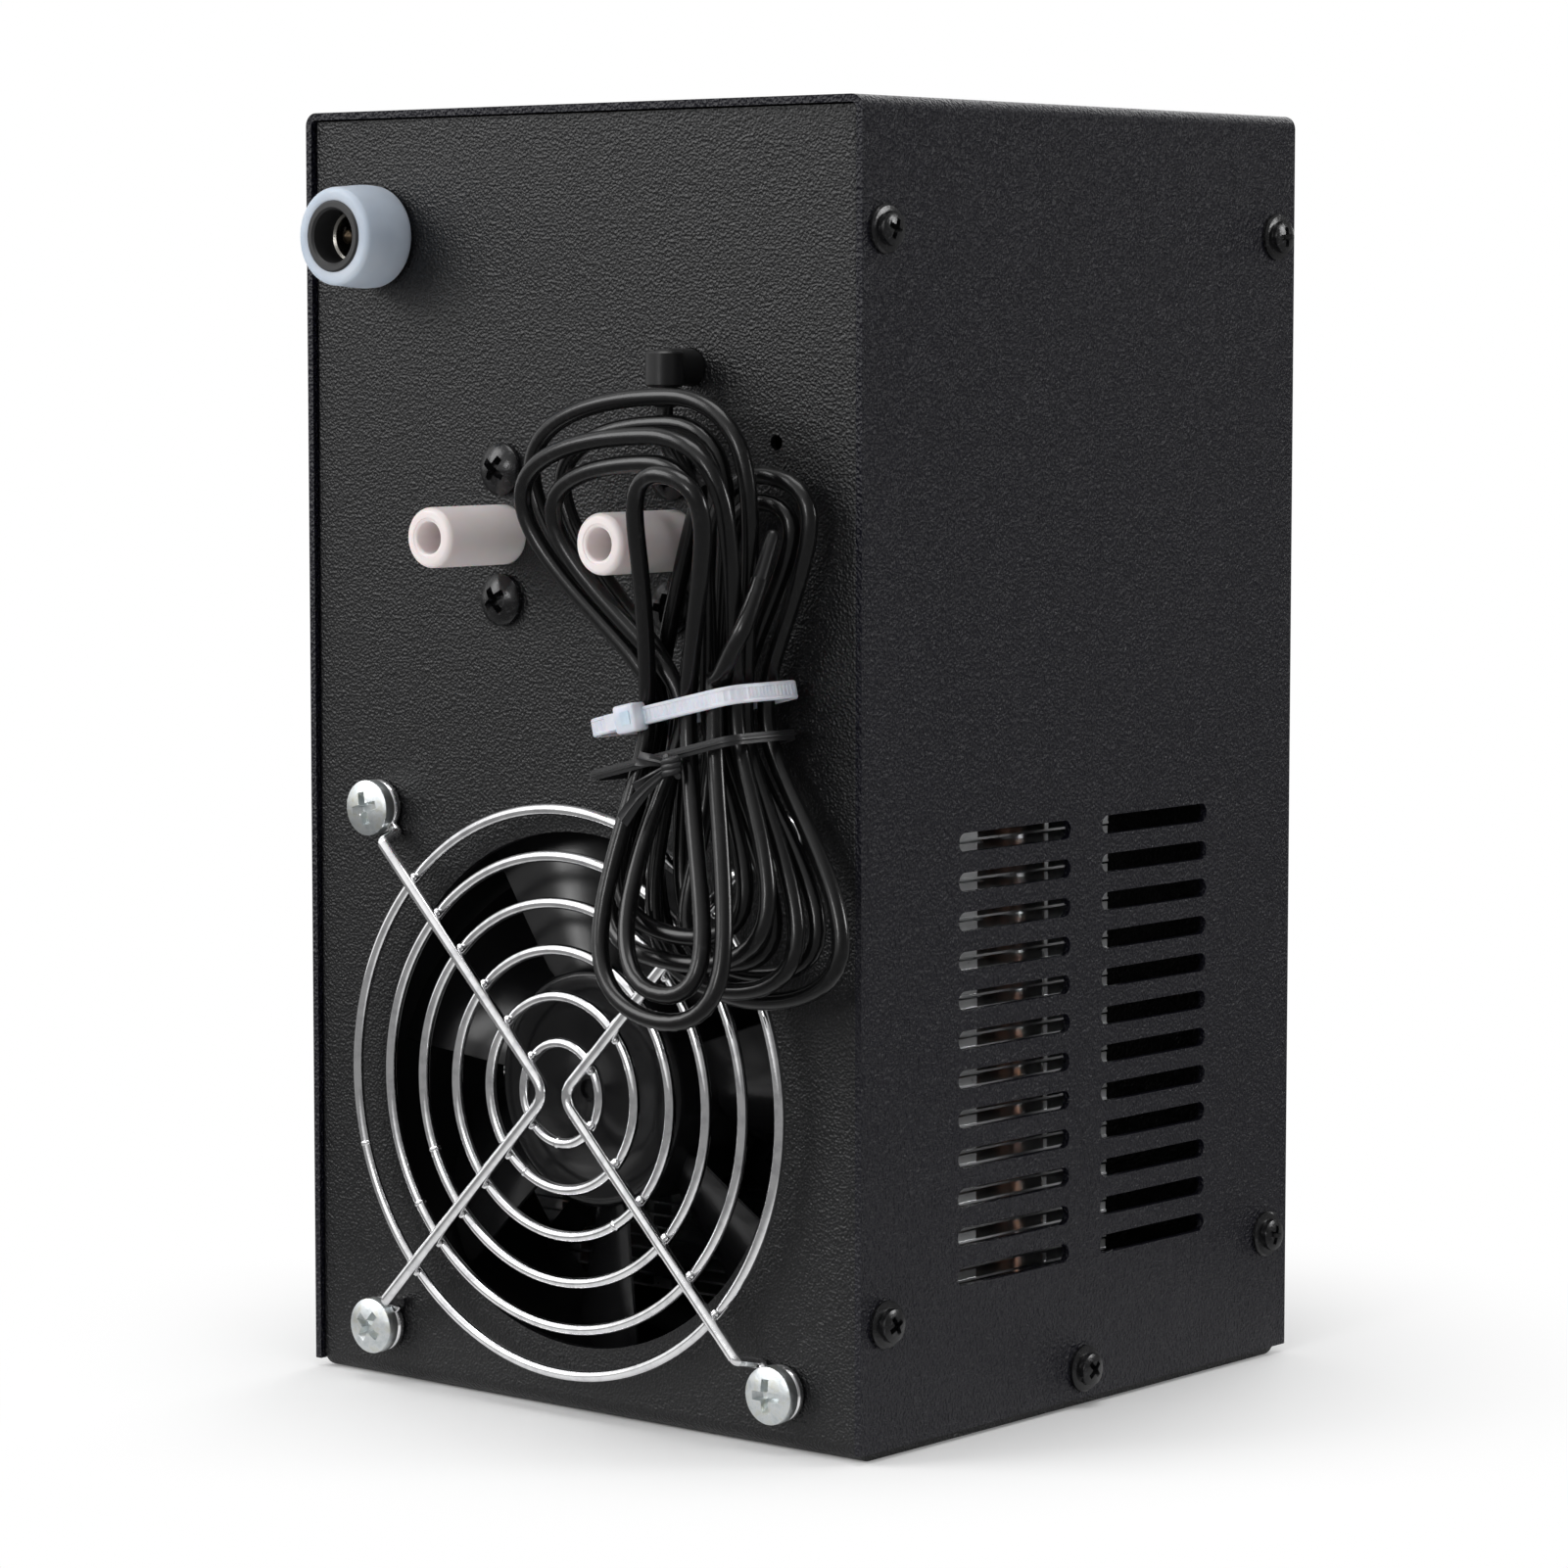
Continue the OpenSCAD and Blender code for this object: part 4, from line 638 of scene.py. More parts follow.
# colour, then lowest and highest roughness where a finish takes them
looks = {
    # cover and chassis are the same black powder coat; the cover's colour is set darker and bluer than the
    # chassis's: painted shade for the cover's dim sides
    "cover": wrinkleCoat("coverCoat", (0.0034, 0.0032, 0.0074), 0.3, depth=2.0),
    "chassis": wrinkleCoat("chassisCoat", (0.0045, 0.0045, 0.0052), 0.37, seed=0.15),
    "blackScrew": blackedSteel("blackedSteel"),
    "wire": brightWire("guardWire"),
    "zinc": zincPlate("zincPlate"),
    "fanGloss": mouldedPlastic("rotorPlastic", (0.006, 0.006, 0.0065), 0.14, 0.28, 0.004, 0.3),
    "fanSatin": mouldedPlastic("fanFramePlastic", (0.006, 0.006, 0.0065), 0.3, 0.45, 0.01, 0.25),
    "bronze": rolledMetal("sinteredBronze", (0.6, 0.42, 0.2), 0.35, 0.5, (0, 0, 0), 0.3, 0.03),
    "coil": woundCopper("coilWire"),
    "ferrite": mouldedPlastic("ferrite", (0.03, 0.03, 0.032), 0.5, 0.7, 0.02),
    "steel": rolledMetal("groundSteel", (0.62, 0.62, 0.63), 0.15, 0.3, (0, 1, 0), 0.1),
    "nozzle": mouldedPlastic("nozzlePlastic", (0.8, 0.74, 0.735), 0.3, 0.42, 0.006, 0.45,
                             Subsurface_Weight=0.25, Subsurface_Scale=0.003),
    "silicone": clearSilicone("clearSilicone"),
    "jack": mouldedPlastic("jackPlastic", (0.02, 0.02, 0.021), 0.35, 0.5, 0.01),
    "contact": rolledMetal("contactPlate", (0.26, 0.25, 0.23), 0.2, 0.36, (0, 1, 0), 0.15),
    "pin": rolledMetal("pinPlate", (0.06, 0.045, 0.03), 0.3, 0.45, (0, 1, 0), 0.15),
    "bush": mouldedPlastic("bushPlastic", (0.007, 0.007, 0.0075), 0.28, 0.42, 0.012, 0.4),
    "lead": leadPlastic("leadPlastic"),
    "nylon": milkyNylon("milkyNylon"),
    "twist": mouldedPlastic("twistCoat", (0.012, 0.012, 0.013), 0.3, 0.5, 0.012),
    "fin": rolledMetal("finSheet", (0.9, 0.91, 0.92), 0.24, 0.36, (0, 1, 0), 0.1, 0.004),
    "milled": rolledMetal("milledAluminium", (0.66, 0.68, 0.7), 0.25, 0.4, (1, 0, 0), 0.2, 0.02),
    "copper": tarnishedCopper("pipeCopper"),
    "gasket": mouldedPlastic("redSilicone", (0.28, 0.03, 0.02), 0.5, 0.65, 0.01),
    "hose": mouldedPlastic("clearHose", (0.62, 0.68, 0.7), 0.2, 0.32, 0.006, 0.5, Transmission_Weight=0.35),
    "ceramic": sinteredWhite("whiteCeramic"),
    "foam": closedFoam("closedFoam", (0.012, 0.012, 0.013)),
    "board": fibreBoard("fibreBoard"),
    "displayBlack": mouldedPlastic("displayBlack", (0.006, 0.006, 0.007), 0.4, 0.55),
    "bezel": mouldedPlastic("bezelPlastic", (0.012, 0.012, 0.013), 0.3, 0.42, 0.01),
    "lens": mouldedPlastic("redLens", (0.1, 0.004, 0.004), 0.06, 0.12, 0.002, 0.6, Transmission_Weight=0.3),
    "key": mouldedPlastic("keyCap", (0.52, 0.53, 0.54), 0.35, 0.5, 0.01),
    "capacitor": mouldedPlastic("capacitorSleeve", (0.012, 0.02, 0.07), 0.25, 0.35, 0.004),
    "terminal": mouldedPlastic("terminalGreen", (0.02, 0.16, 0.06), 0.4, 0.5, 0.01),
    "redWire": mouldedPlastic("redWire", (0.4, 0.012, 0.01), 0.3, 0.42, 0.008),
    "blackWire": mouldedPlastic("blackWire", (0.01, 0.01, 0.011), 0.3, 0.42, 0.008),
}
print("finishes ready:", len(looks))


# sensor lead: one length of cable, folded into the hank as the solids have it
lead = {
    "diameter": 2.3, "sides": 16, "step": 1.3, "pointsPerTurn": 72,
    "foot": (20.1, 134.4, 5.1),
    "route": [(20.1, 131.5, 5.1), (21.2, 128.6, 5), (23, 125.8, 4.7), (24.4, 123.4, 4.3)],
    "tail": [(36, 100.6, 13), (38, 104, 13), (39.8, 107, 12.8), (40, 109.4, 11.6), (40, 111, 10.8)],
    "probe": [(40, 113, 9.8), (40, 116, 8.4), (40, 119.2, 6.9)],
    "probeDiameter": 1.8, "probeStep": 0.25, "roundedTip": 0.9,
}
hank = {
    "x": 28.5, "z": 96.0, "off": 4.2, "layer": 2.9, "layers": 4, "turns": 2, "start": -0.25, "end": 7.375,
    "squeeze": 0.38, "sideStep": 4.4, "sideMid": 2.15, "tighten": 0.13, "nest": 3.4, "round": 8.0,
    "climb": 0.11,
    # one row a layer: reach from the waist, lean, left bulge, right bulge, stand-off
    "top": [(32, 7, 0, 9, 4.2), (41, -3, 44, 10, 9.8), (37, -2, 45, 9, 15.6), (35, 5, 1, 8, 21.5)],
    "low": [(37, 9, 13, 20, 7.4), (38, 7, 15, 18, 11.2), (32, 4, 18, 13, 14.6), (41, 6, 16, 9, 22)],
}


def ease(a):
    a = min(max(a, 0), 1)
    return a * a * (3 - 2 * a)


def hankAt(t):
    # place on the hank after t loops: two loops a layer, each layer further off the panel
    turns, climb = hank["turns"], hank["climb"]
    c, s = math.cos(math.radians(225 - 360 * t)), math.sin(math.radians(225 - 360 * t))
    p = c * c / math.sqrt(c * c + hank["squeeze"] ** 2)  # 0 at the waist, near 1 at both ends
    m = t % (2 * turns)
    inward = t if t <= 0 else min(m, 2 * turns - m)
    b = math.floor(t / turns + 0.5)
    if b <= 0:
        layer = 0
    elif b >= hank["layers"]:
        layer = hank["layers"] - 1
    else:
        layer = b - 1 + ease((t - b * turns + climb) / (2 * climb))
    rows = hank["top"] if c > 0 else hank["low"]
    i = min(math.floor(layer), len(rows) - 2)
    reach, lean, left, right, stand = [u + (layer - i) * (v - u) for u, v in zip(rows[i], rows[i + 1])]
    bulge = right if s > 0 else left
    side = hank["sideStep"] * (hank["sideMid"] - inward)
    across = side + bulge * (1 - hank["tighten"] * inward) * p + hank["round"] * c ** 4
    x = hank["x"] + lean * p + s * across
    z = hank["z"] + (reach - hank["nest"] * inward) * c
    return offPanel((x, z, (hank["off"] + layer * hank["layer"]) * (1 - p) + stand * p))


def makeLead():
    perTurn = lead["pointsPerTurn"]
    steps = round((hank["end"] - hank["start"]) * perTurn)
    folded = [hankAt(hank["start"] + k / perTurn) for k in range(steps + 1)]
    # straight on by a diameter at a time where the hank and the probe begin and end
    intoHank = (folded[1] - folded[0]).normalized() * lead["diameter"] * mm
    outOfHank = (folded[-1] - folded[-2]).normalized() * lead["diameter"] * mm
    probePoints = [offPanel(p) for p in lead["probe"]]
    probeBack = (probePoints[0] - probePoints[1]).normalized() * lead["diameter"] * mm
    run = [offPanel(lead["foot"])] + [offPanel(p) for p in lead["route"]]
    run += [folded[0] - intoHank * 2, folded[0] - intoHank] + folded
    run += [folded[-1] + outOfHank, folded[-1] + outOfHank * 2]
    run += [offPanel(p) for p in lead["tail"]] + [probePoints[0] + probeBack, probePoints[0]]
    path = smoothPath(run, lead["step"] * mm)
    b = bmesh.new()
    sweepRound(b, path, lead["diameter"] / 2, lead["sides"])
    cable = dressed(b, "sensorLead", "lead", "lead_black", "sensor_cord", "sensor_hank", "sensor_tail",
                    sharpAngle=60)

    # the probe: a moulded tip with a rounded end
    b = bmesh.new()
    tipPath = smoothPath(probePoints, lead["probeStep"] * mm)
    share = lead["roundedTip"] * mm / pathLength(tipPath)

    def tipRadius(t):
        past = (t - 1 + share) / share
        return lead["probeDiameter"] / 2 * (math.sqrt(max(0.02, 1 - past ** 2)) if t > 1 - share else 1)

    sweepRound(b, tipPath, 0, 16, radiusAt=tipRadius)
    tip = dressed(b, "probeTip", "bush", "lead_black", "sensor_probe", sharpAngle=50)
    return cable, path, tip


cable, leadPath, probeTip = makeLead()
print("lead length", round(pathLength(leadPath), 4))


# the two ties round the hank's waist
def tieFrame(tie):
    # local x across the hank, y off the panel, z up
    middle = Vector(((tie["left"] + tie["right"]) / 2, -box["panelY"], tie["z"])) * mm
    lean = Matrix.Rotation(math.radians(-tie["tilt"]), 4, "Y")
    flip = Matrix.Diagonal((1, -1, 1, 1))
    rise = Matrix.Translation(Vector((0, (tie["near"] + tie["far"]) / 2, 0)) * mm)
    return Matrix.Translation(middle) @ lean @ flip @ rise


def bandLoop(tie, step, cornerSteps=10):
    # rounded rectangle round the strands, at even steps along the middle of the band
    lift = tie["thick"] * 0.5
    w, h = (tie["right"] - tie["left"]) / 2 + lift, (tie["far"] - tie["near"]) / 2 + lift
    r = tie["corner"] + lift
    ring = []
    for cx, cz, a in ((w - r, h - r, 0), (r - w, h - r, 90), (r - w, r - h, 180), (w - r, r - h, 270)):
        turned = [math.radians(a + 90 * k / cornerSteps) for k in range(cornerSteps + 1)]
        ring += [(cx + r * math.cos(u), cz + r * math.sin(u)) for u in turned]
    ring.append(ring[0])
    found, need = [], 0.0
    for (x0, y0), (x1, y1) in zip(ring[:-1], ring[1:]):
        length = math.hypot(x1 - x0, y1 - y0)
        while need < length:
            t = need / length
            found.append((x0 + (x1 - x0) * t, y0 + (y1 - y0) * t))
            need += step
        need -= length
    return found


def sweepBand(b, tie, step, section):
    # section(i) lists the band's corners at step i: height along the hank, offset from the middle
    place = tieFrame(tie)
    loop = bandLoop(tie, step)
    rings = []
    for i, (x, y) in enumerate(loop):
        px, py = loop[i - 1]
        nx, ny = loop[(i + 1) % len(loop)]
        ahead = Vector((nx - px, ny - py)).normalized()
        out = Vector((ahead.y, -ahead.x))
        rings.append([b.verts.new(place @ (Vector((x + out.x * off, y + out.y * off, up)) * mm))
                      for up, off in section(i)])
    for i in range(len(rings)):
        joinRings(b, rings[i - 1], rings[i])


def makeZipTie():
    tie = {"left": 16.2, "right": 40.0, "near": 2.4, "far": 14.9, "corner": 2.0, "tilt": 13.0, "z": 96.2,
           "width": 2.3, "thick": 1.0, "toothStep": 0.35, "toothDepth": 0.14, "headX": -4.0,
           "head": (3.6, 3.0, 3.6), "headEdge": 0.45, "tail": (3.2, 0.9), "tailLift": 1.7,
           "lip": (1.5, 0.3, 1.7)}
    half, thick = tie["width"] / 2, tie["thick"] / 2

    def section(i):
        # flat outer face with a raised rim on each side and teeth sunk between them
        sunk = thick - (tie["toothDepth"] if i % 2 else 0.0)
        return ((-half, -thick), (-half, thick * 0.7), (-half * 0.86, thick), (-half * 0.66, thick),
                (-half * 0.58, sunk), (half * 0.58, sunk), (half * 0.66, thick),
                (half * 0.86, thick), (half, thick * 0.7), (half, -thick))

    b = bmesh.new()
    sweepBand(b, tie, tie["toothStep"], section)
    place = tieFrame(tie)
    middle = (tie["far"] - tie["near"]) / 2
    wide, tall, deep = tie["head"]
    headAt = place @ Matrix.Translation(Vector((tie["headX"], middle + tall / 2, 0)) * mm)
    headBox = bmesh.new()
    addBox(headBox, (wide, tall * 0.9, deep), headAt)
    head = showMesh(meshFrom(headBox, "tieHead"), "tieHead")
    roundEdges(head, tie["headEdge"], 3)
    settle(head)
    b.from_mesh(head.data)
    bpy.data.objects.remove(head)
    # cut tail stub that leaves the head
    tailLength, tailThick = tie["tail"]
    tailX = tie["headX"] - tailLength / 2 - 0.6
    tailAt = place @ Matrix.Translation(Vector((tailX, middle + tie["tailLift"], 0)) * mm)
    addBox(b, (tailLength, tailThick, tie["width"] * 0.92), tailAt)
    # pawl and slot lip on the head's face
    lipAt = place @ Matrix.Translation(Vector((tie["headX"] + 0.3, middle + tall * 0.93, 0)) * mm)
    addBox(b, tie["lip"], lipAt)
    return dressed(b, "zipTie", "nylon", "tie_natural", "zip_tie", sharpAngle=30)


def makeTwistTie():
    tie = {"left": 16.0, "right": 40.4, "near": 2.4, "far": 15.7, "corner": 2.0, "tilt": 14.0, "z": 90.3,
           "width": 1.3, "thick": 0.7, "step": 0.6, "knot": (31.5, 89.6, 16.9),
           "strand": 0.5, "strandTurns": 1.5, "strandRise": 2.2,
           "ribbon": (1.9, 0.5), "ribbonSteps": 24, "lean": (10, -25, 30),
           "tails": [(24.8, 82.4, 18.6), (26.4, 90.6, 17.4), (26.2, 86.8, 17.8)]}
    half, thick = tie["width"] / 2, tie["thick"] / 2
    # flat plastic wings with the round wire between them
    section = ((-half, -thick * 0.35), (-half, thick * 0.35), (-half * 0.4, thick * 0.45),
               (-half * 0.22, thick), (half * 0.22, thick), (half * 0.4, thick * 0.45),
               (half, thick * 0.35), (half, -thick * 0.35), (half * 0.3, -thick), (-half * 0.3, -thick))
    b = bmesh.new()
    sweepBand(b, tie, tie["step"], lambda i: section)

    # the ribbons that leave the knot: a wire down the middle of each
    ribbonSection = ((-1, -0.5), (-0.3, -0.6), (0, -1.5), (0.3, -0.6), (1, -0.5),
                     (1, 0.5), (0.3, 0.6), (0, 1.5), (-0.3, 0.6), (-1, 0.5))
    knot = offPanel(tie["knot"])
    outward = Vector((0, -1, 0))
    for number, tail in enumerate(tie["tails"]):
        end = offPanel(tail)
        # turned over once on its way and cut square
        run = end - knot
        ahead = run.normalized()
        across = ahead.cross(outward).normalized()
        lift = across.cross(ahead)
        below = None
        for k in range(tie["ribbonSteps"] + 1):
            u = k / tie["ribbonSteps"]
            turn = math.radians(70 * (1 - u) + tie["lean"][number])
            sway = across * math.sin(3.0 * u + number) * 0.35 + lift * 0.4 * math.sin(math.pi * u)
            at = knot + run * u + sway * mm
            flat = across * math.cos(turn) + lift * math.sin(turn)
            edge = flat.cross(ahead)
            wide, thin = tie["ribbon"][0] / 2 * (0.6 + 0.4 * u), tie["ribbon"][1] / 2
            ring = [b.verts.new(at + (flat * x * wide + edge * y * thin) * mm) for x, y in ribbonSection]
            if below:
                joinRings(b, below, ring)
            else:
                b.faces.new(ring[::-1])
            below = ring
        b.faces.new(below)
    # strands wrapped across each other at the knot
    wrapSteps = 48
    for number in range(2):
        wrap = []
        for k in range(wrapSteps + 1):
            a = 2 * math.pi * tie["strandTurns"] * k / wrapSteps + number * math.pi
            rise = (k / wrapSteps - 0.5) * tie["strandRise"]
            wrap.append(knot + Vector((math.cos(a) * 1.0, math.sin(a) * 0.7, rise)) * mm)
        sweepRound(b, wrap, tie["strand"], 10)
    return dressed(b, "twistTie", "twist", "tie_black", "twist_tie", sharpAngle=40)


zipTie = makeZipTie()
twistTie = makeTwistTie()
print("ties ready")


# sheet metal: cover and chassis
def makeSheetMetal():
    metal = {"coverEdge": 0.24, "edge": 0.16, "bend": 0.6, "bendSteps": 5, "cornerAtLeast": 20}
    cover = coatedPiece(mergedSolid("cover"), "coverSheet", metal["coverEdge"])
    finishPiece(cover, "cover", "case", "case_black", "cover")

    b = mergedSolid("chassis")
    # the panels' upright corners are bends, not cut edges
    upright = []
    for edge in b.edges:
        p, q = edge.verts[0].co / mm, edge.verts[1].co / mm
        middle = (p + q) / 2
        onCorner = (abs(abs(middle.x) - box["chassisHalf"]) < 0.01
                    and abs(abs(middle.y) - box["panelY"]) < 0.01)
        if onCorner and abs(p.z - q.z) > metal["cornerAtLeast"] and abs(p.x - q.x) < 0.01:
            upright.append(edge)
    bmesh.ops.bevel(b, geom=upright, offset=metal["bend"] * mm, segments=metal["bendSteps"], profile=0.5,
                    affect="EDGES")
    chassis = coatedPiece(b, "chassisSheet", metal["edge"])
    finishPiece(chassis, "chassis", "case", "case_black", "chassis")
    return len(upright)


print("sheet metal ready, bends", makeSheetMetal())


# cross-recess screws
def screwProfile(spec):
    top = spec["washerHeight"] + spec["headHeight"]
    r, dome = spec["headRadius"], spec["dome"]
    big = (r * r + dome * dome) / (2 * dome)  # radius of the domed top
    profile = [(0, -spec["shankLength"]), (spec["shankRadius"] - 0.3, -spec["shankLength"]),
               (spec["shankRadius"], 0.3 - spec["shankLength"]), (spec["shankRadius"], 0)]
    if spec["washerHeight"] > 0:
        w = spec["washerRadius"]
        profile += [(w, 0), (w, spec["washerHeight"] * 0.6), (w - 0.25, spec["washerHeight"]),
                    (r + 0.15, spec["washerHeight"] + 0.08)]
    profile += [(r, spec["washerHeight"] + 0.12), (r, top - dome - 0.1)]
    domeSteps = 9
    for k in range(domeSteps):
        a = math.asin(min(1, r / big)) * (1 - k / domeSteps)
        profile.append((big * math.sin(a) * (0.985 if k == 0 else 1), top - big + big * math.cos(a)))
    profile.append((0, top))
    return profile


def recessWing(spec, turned):
    # one bar of the cross, narrower at its bottom
    top = spec["washerHeight"] + spec["headHeight"]
    wing, reach = spec["crossWidth"] / 2, spec["headRadius"] * spec["crossReach"]
    depth = spec["crossDepth"]
    b = bmesh.new()
    levels = ((top - depth, reach * 0.5, wing * 0.6), (top - depth * 0.35, reach * 0.82, wing * 0.86),
              (top + 0.5, reach * 1.12, wing * 1.1))
    rings = []
    for z, length, width in levels:
        rings.append([b.verts.new(Vector((x * length, y * width, z)) * mm)
                      for x, y in ((-1, -1), (1, -1), (1, 1), (-1, 1))])
    b.faces.new(rings[0][::-1])
    b.faces.new(rings[2])
    for low, high in zip(rings[:-1], rings[1:]):
        joinRings(b, low, high)
    b.transform(Matrix.Rotation(math.radians(turned + spec["turn"]), 4, "Z"))
    return showMesh(meshFrom(b, "recess"), "recess")


def crossScrew(name, spec):
    b = bmesh.new()
    turnProfile(b, screwProfile(spec), 56, closed=False)
    piece = showMesh(meshFrom(b, name), name)
    cutters = [recessWing(spec, turned) for turned in (0, 90)]
    for cutter in cutters:
        cut = piece.modifiers.new("recess", "BOOLEAN")
        cut.object = cutter
        cut.operation = "DIFFERENCE"
        cut.solver = "EXACT"
    settle(piece)
    for cutter in cutters:
        bpy.data.objects.remove(cutter)
    b = bmesh.new()
    b.from_mesh(piece.data)
    bmesh.ops.remove_doubles(b, verts=b.verts, dist=0.003 * mm)
    bpy.data.objects.remove(piece)
    piece = showMesh(meshFrom(b, name, 30), name)
    roundEdges(piece, spec["wear"], 2, 34)
    settle(piece)
    mesh = piece.data.copy()
    bpy.data.objects.remove(piece)
    return mesh


def makeScrews():
    coverScrew = {
        "headRadius": 2.2, "headHeight": 1.3, "dome": 0.4, "washerRadius": 3.15, "washerHeight": 0.7,
        "shankRadius": 1.5, "shankLength": 5.0, "crossWidth": 0.8, "crossReach": 0.68, "crossDepth": 1.0,
        "turn": 24, "wear": 0.07,
    }
    nozzleScrew = {
        "headRadius": 3.5, "headHeight": 2.2, "dome": 1.4, "washerHeight": 0.0,
        "shankRadius": 1.45, "shankLength": 8.0, "crossWidth": 1.15, "crossReach": 0.62, "crossDepth": 1.5,
        "turn": 0, "wear": 0.1,
    }
    fanScrew = {
        "headRadius": 3.8, "headHeight": 2.4, "dome": 0.75, "washerHeight": 0.0,
        "shankRadius": 2.1, "shankLength": 12.0, "crossWidth": 1.25, "crossReach": 0.66, "crossDepth": 1.4,
        "turn": 0, "wear": 0.14,
    }
    # on a side: place across, height, and how far the cross is turned
    sideScrews = [(-43, 156.8, 12), (43, 156.8, 40), (-42.5, 17.6, 65), (42.5, 17.6, 20), (0, 5.2, 80)]
    bracket = {"x": 22, "z": 88.2}

    def spun(degrees):
        return Matrix.Rotation(math.radians(degrees), 4, "Z")

    head = crossScrew("coverScrew", coverScrew)
    spots = [onSide(s, y * s, z) @ spun(a + 30 * s) for s in (-1, 1) for y, z, a in sideScrews]
    finishPiece(copiesOf(head, spots, "coverScrews"), "blackScrew", "case", "screw_black", "cover_screws")
    spots = [onFront(s * bracket["x"], bracket["z"]) @ spun(30 + 40 * s) for s in (-1, 1)]
    finishPiece(copiesOf(head, spots, "bracketScrews"), "blackScrew", "case", "screw_black", "bracket_screws")

    head = crossScrew("nozzleScrew", nozzleScrew)
    spots = [onPort(x, ports["nozzleZ"] + s * ports["earRise"]) @ spun(35 + 20 * j + 50 * k)
             for k, x in enumerate(ports["nozzleX"]) for j, s in enumerate((-1, 1))]
    finishPiece(copiesOf(head, spots, "nozzleScrews"), "blackScrew", "case", "screw_black", "nozzle_screws")

    head = crossScrew("fanScrew", fanScrew)
    half = fanPlace["screwPitch"] / 2
    corners = ((-1, 1), (-1, -1), (1, -1), (1, 1))
    spots = [onPort(a * half, fanPlace["z"] + c * half, fanPlace["headLift"]) @ spun(15 + 38 * k)
             for k, (a, c) in enumerate(corners)]
    finishPiece(copiesOf(head, spots, "fanScrews"), "zinc", "case", "zinc", "fan_screws")


makeScrews()
print("screws ready")


# wire fan guard
def makeGuard():
    guard = {"rings": [37.7 - 6.2 * k for k in range(6)], "ringWire": 1.5, "ringLift": 3.1,
             "ribWire": 1.7, "ribLift": 4.5, "elbow": 1.3, "elbowRadius": 3.0,
             "legWire": 1.6, "legFrom": 4.75, "legRun": 1.6, "legBend": 0.9, "eye": 3.0,
             "seamAngles": [196, 214, 203, 300, 240, 265], "seam": (-0.3, -0.15, 0, 0.15, 0.3),
             "seamSwell": 0.16,
             "nugget": (0.62, 0.66, 0.55), "nuggetOff": 0.75}
    half = fanPlace["screwPitch"] / 2
    home = onPort(0, fanPlace["z"])
    b = bmesh.new()

    def seamRadius(t):
        return guard["ringWire"] / 2 * (1.0 + guard["seamSwell"] * math.sin(math.pi * t))

    for radius, seam in zip(guard["rings"], guard["seamAngles"]):
        ring = arcPoints(home, (0, 0), radius, guard["ringLift"], evenTurns(150))
        sweepRound(b, ring, guard["ringWire"] / 2, 14, closed=True)
        # butt weld where the wire's two ends meet
        overSeam = [math.radians(seam) + d / radius for d in guard["seam"]]
        weld = arcPoints(home, (0, 0), radius, guard["ringLift"], overSeam)
        sweepRound(b, weld, 0, 12, radiusAt=seamRadius)

    def onArm(a, c, inward, lift):
        k = half - inward * math.cos(math.radians(45))
        return home @ (Vector((a * k, c * k, lift)) * mm)

    def addNugget(spot, along, side):
        at = spot + along * side * guard["nuggetOff"]
        made = bmesh.ops.create_icosphere(b, subdivisions=2, radius=1.0)["verts"]
        lift = (guard["ringLift"] + guard["ribLift"]) / 2 - 0.05
        turn = Matrix.Rotation(math.atan2(along.y, along.x), 4, "Z")
        size = Matrix.Diagonal((*guard["nugget"], 1)) @ Matrix.Scale(mm, 4)
        size[3][3] = 1
        place = home @ Matrix.Translation(Vector((at.x, at.y, lift)) * mm) @ turn @ size
        bmesh.ops.transform(b, verts=made, matrix=place)

    armEnd = guard["legFrom"] + guard["legRun"]
    for a in (-1, 1):
        rib = [onArm(a, 1, armEnd, guard["ribLift"]),
               home @ (Vector((a * guard["elbow"], 0, guard["ribLift"])) * mm),
               onArm(a, -1, armEnd, guard["ribLift"])]
        sweepRound(b, roundCorners(rib, guard["elbowRadius"] * mm, 12), guard["ribWire"] / 2, 16)
        for c in (-1, 1):
            # cranked leg, then the eye round the screw
            leg = [onArm(a, c, armEnd + 0.5, guard["ribLift"]),
                   onArm(a, c, armEnd - 0.3, guard["ribLift"] - 0.1),
                   onArm(a, c, guard["legFrom"] + 0.1, guard["legWire"] / 2),
                   onArm(a, c, guard["eye"] + 0.2, guard["legWire"] / 2)]
            sweepRound(b, roundCorners(leg, guard["legBend"] * mm, 6), guard["legWire"] / 2, 14)
            eye = arcPoints(home, (a * half, c * half), guard["eye"], guard["legWire"] / 2, evenTurns(40))
            sweepRound(b, eye, guard["legWire"] / 2, 12, closed=True)
            # weld nuggets where the rib crosses the rings
            inner = Vector((a * guard["elbow"], 0))
            outer = Vector((a * half, c * half))
            for radius in guard["rings"]:
                d = (outer - inner).normalized()
                reach = -inner.dot(d) + math.sqrt(inner.dot(d) ** 2 - inner.length_squared + radius ** 2)
                spot = inner + d * reach
                along = Vector((-spot.y, spot.x)).normalized()
                for side in (-1, 1):
                    addNugget(spot, along, side)
    dressed(b, "fanGuard", "wire", "guard_wire", "fan_guard", sharpAngle=50)


makeGuard()
print("guard ready")


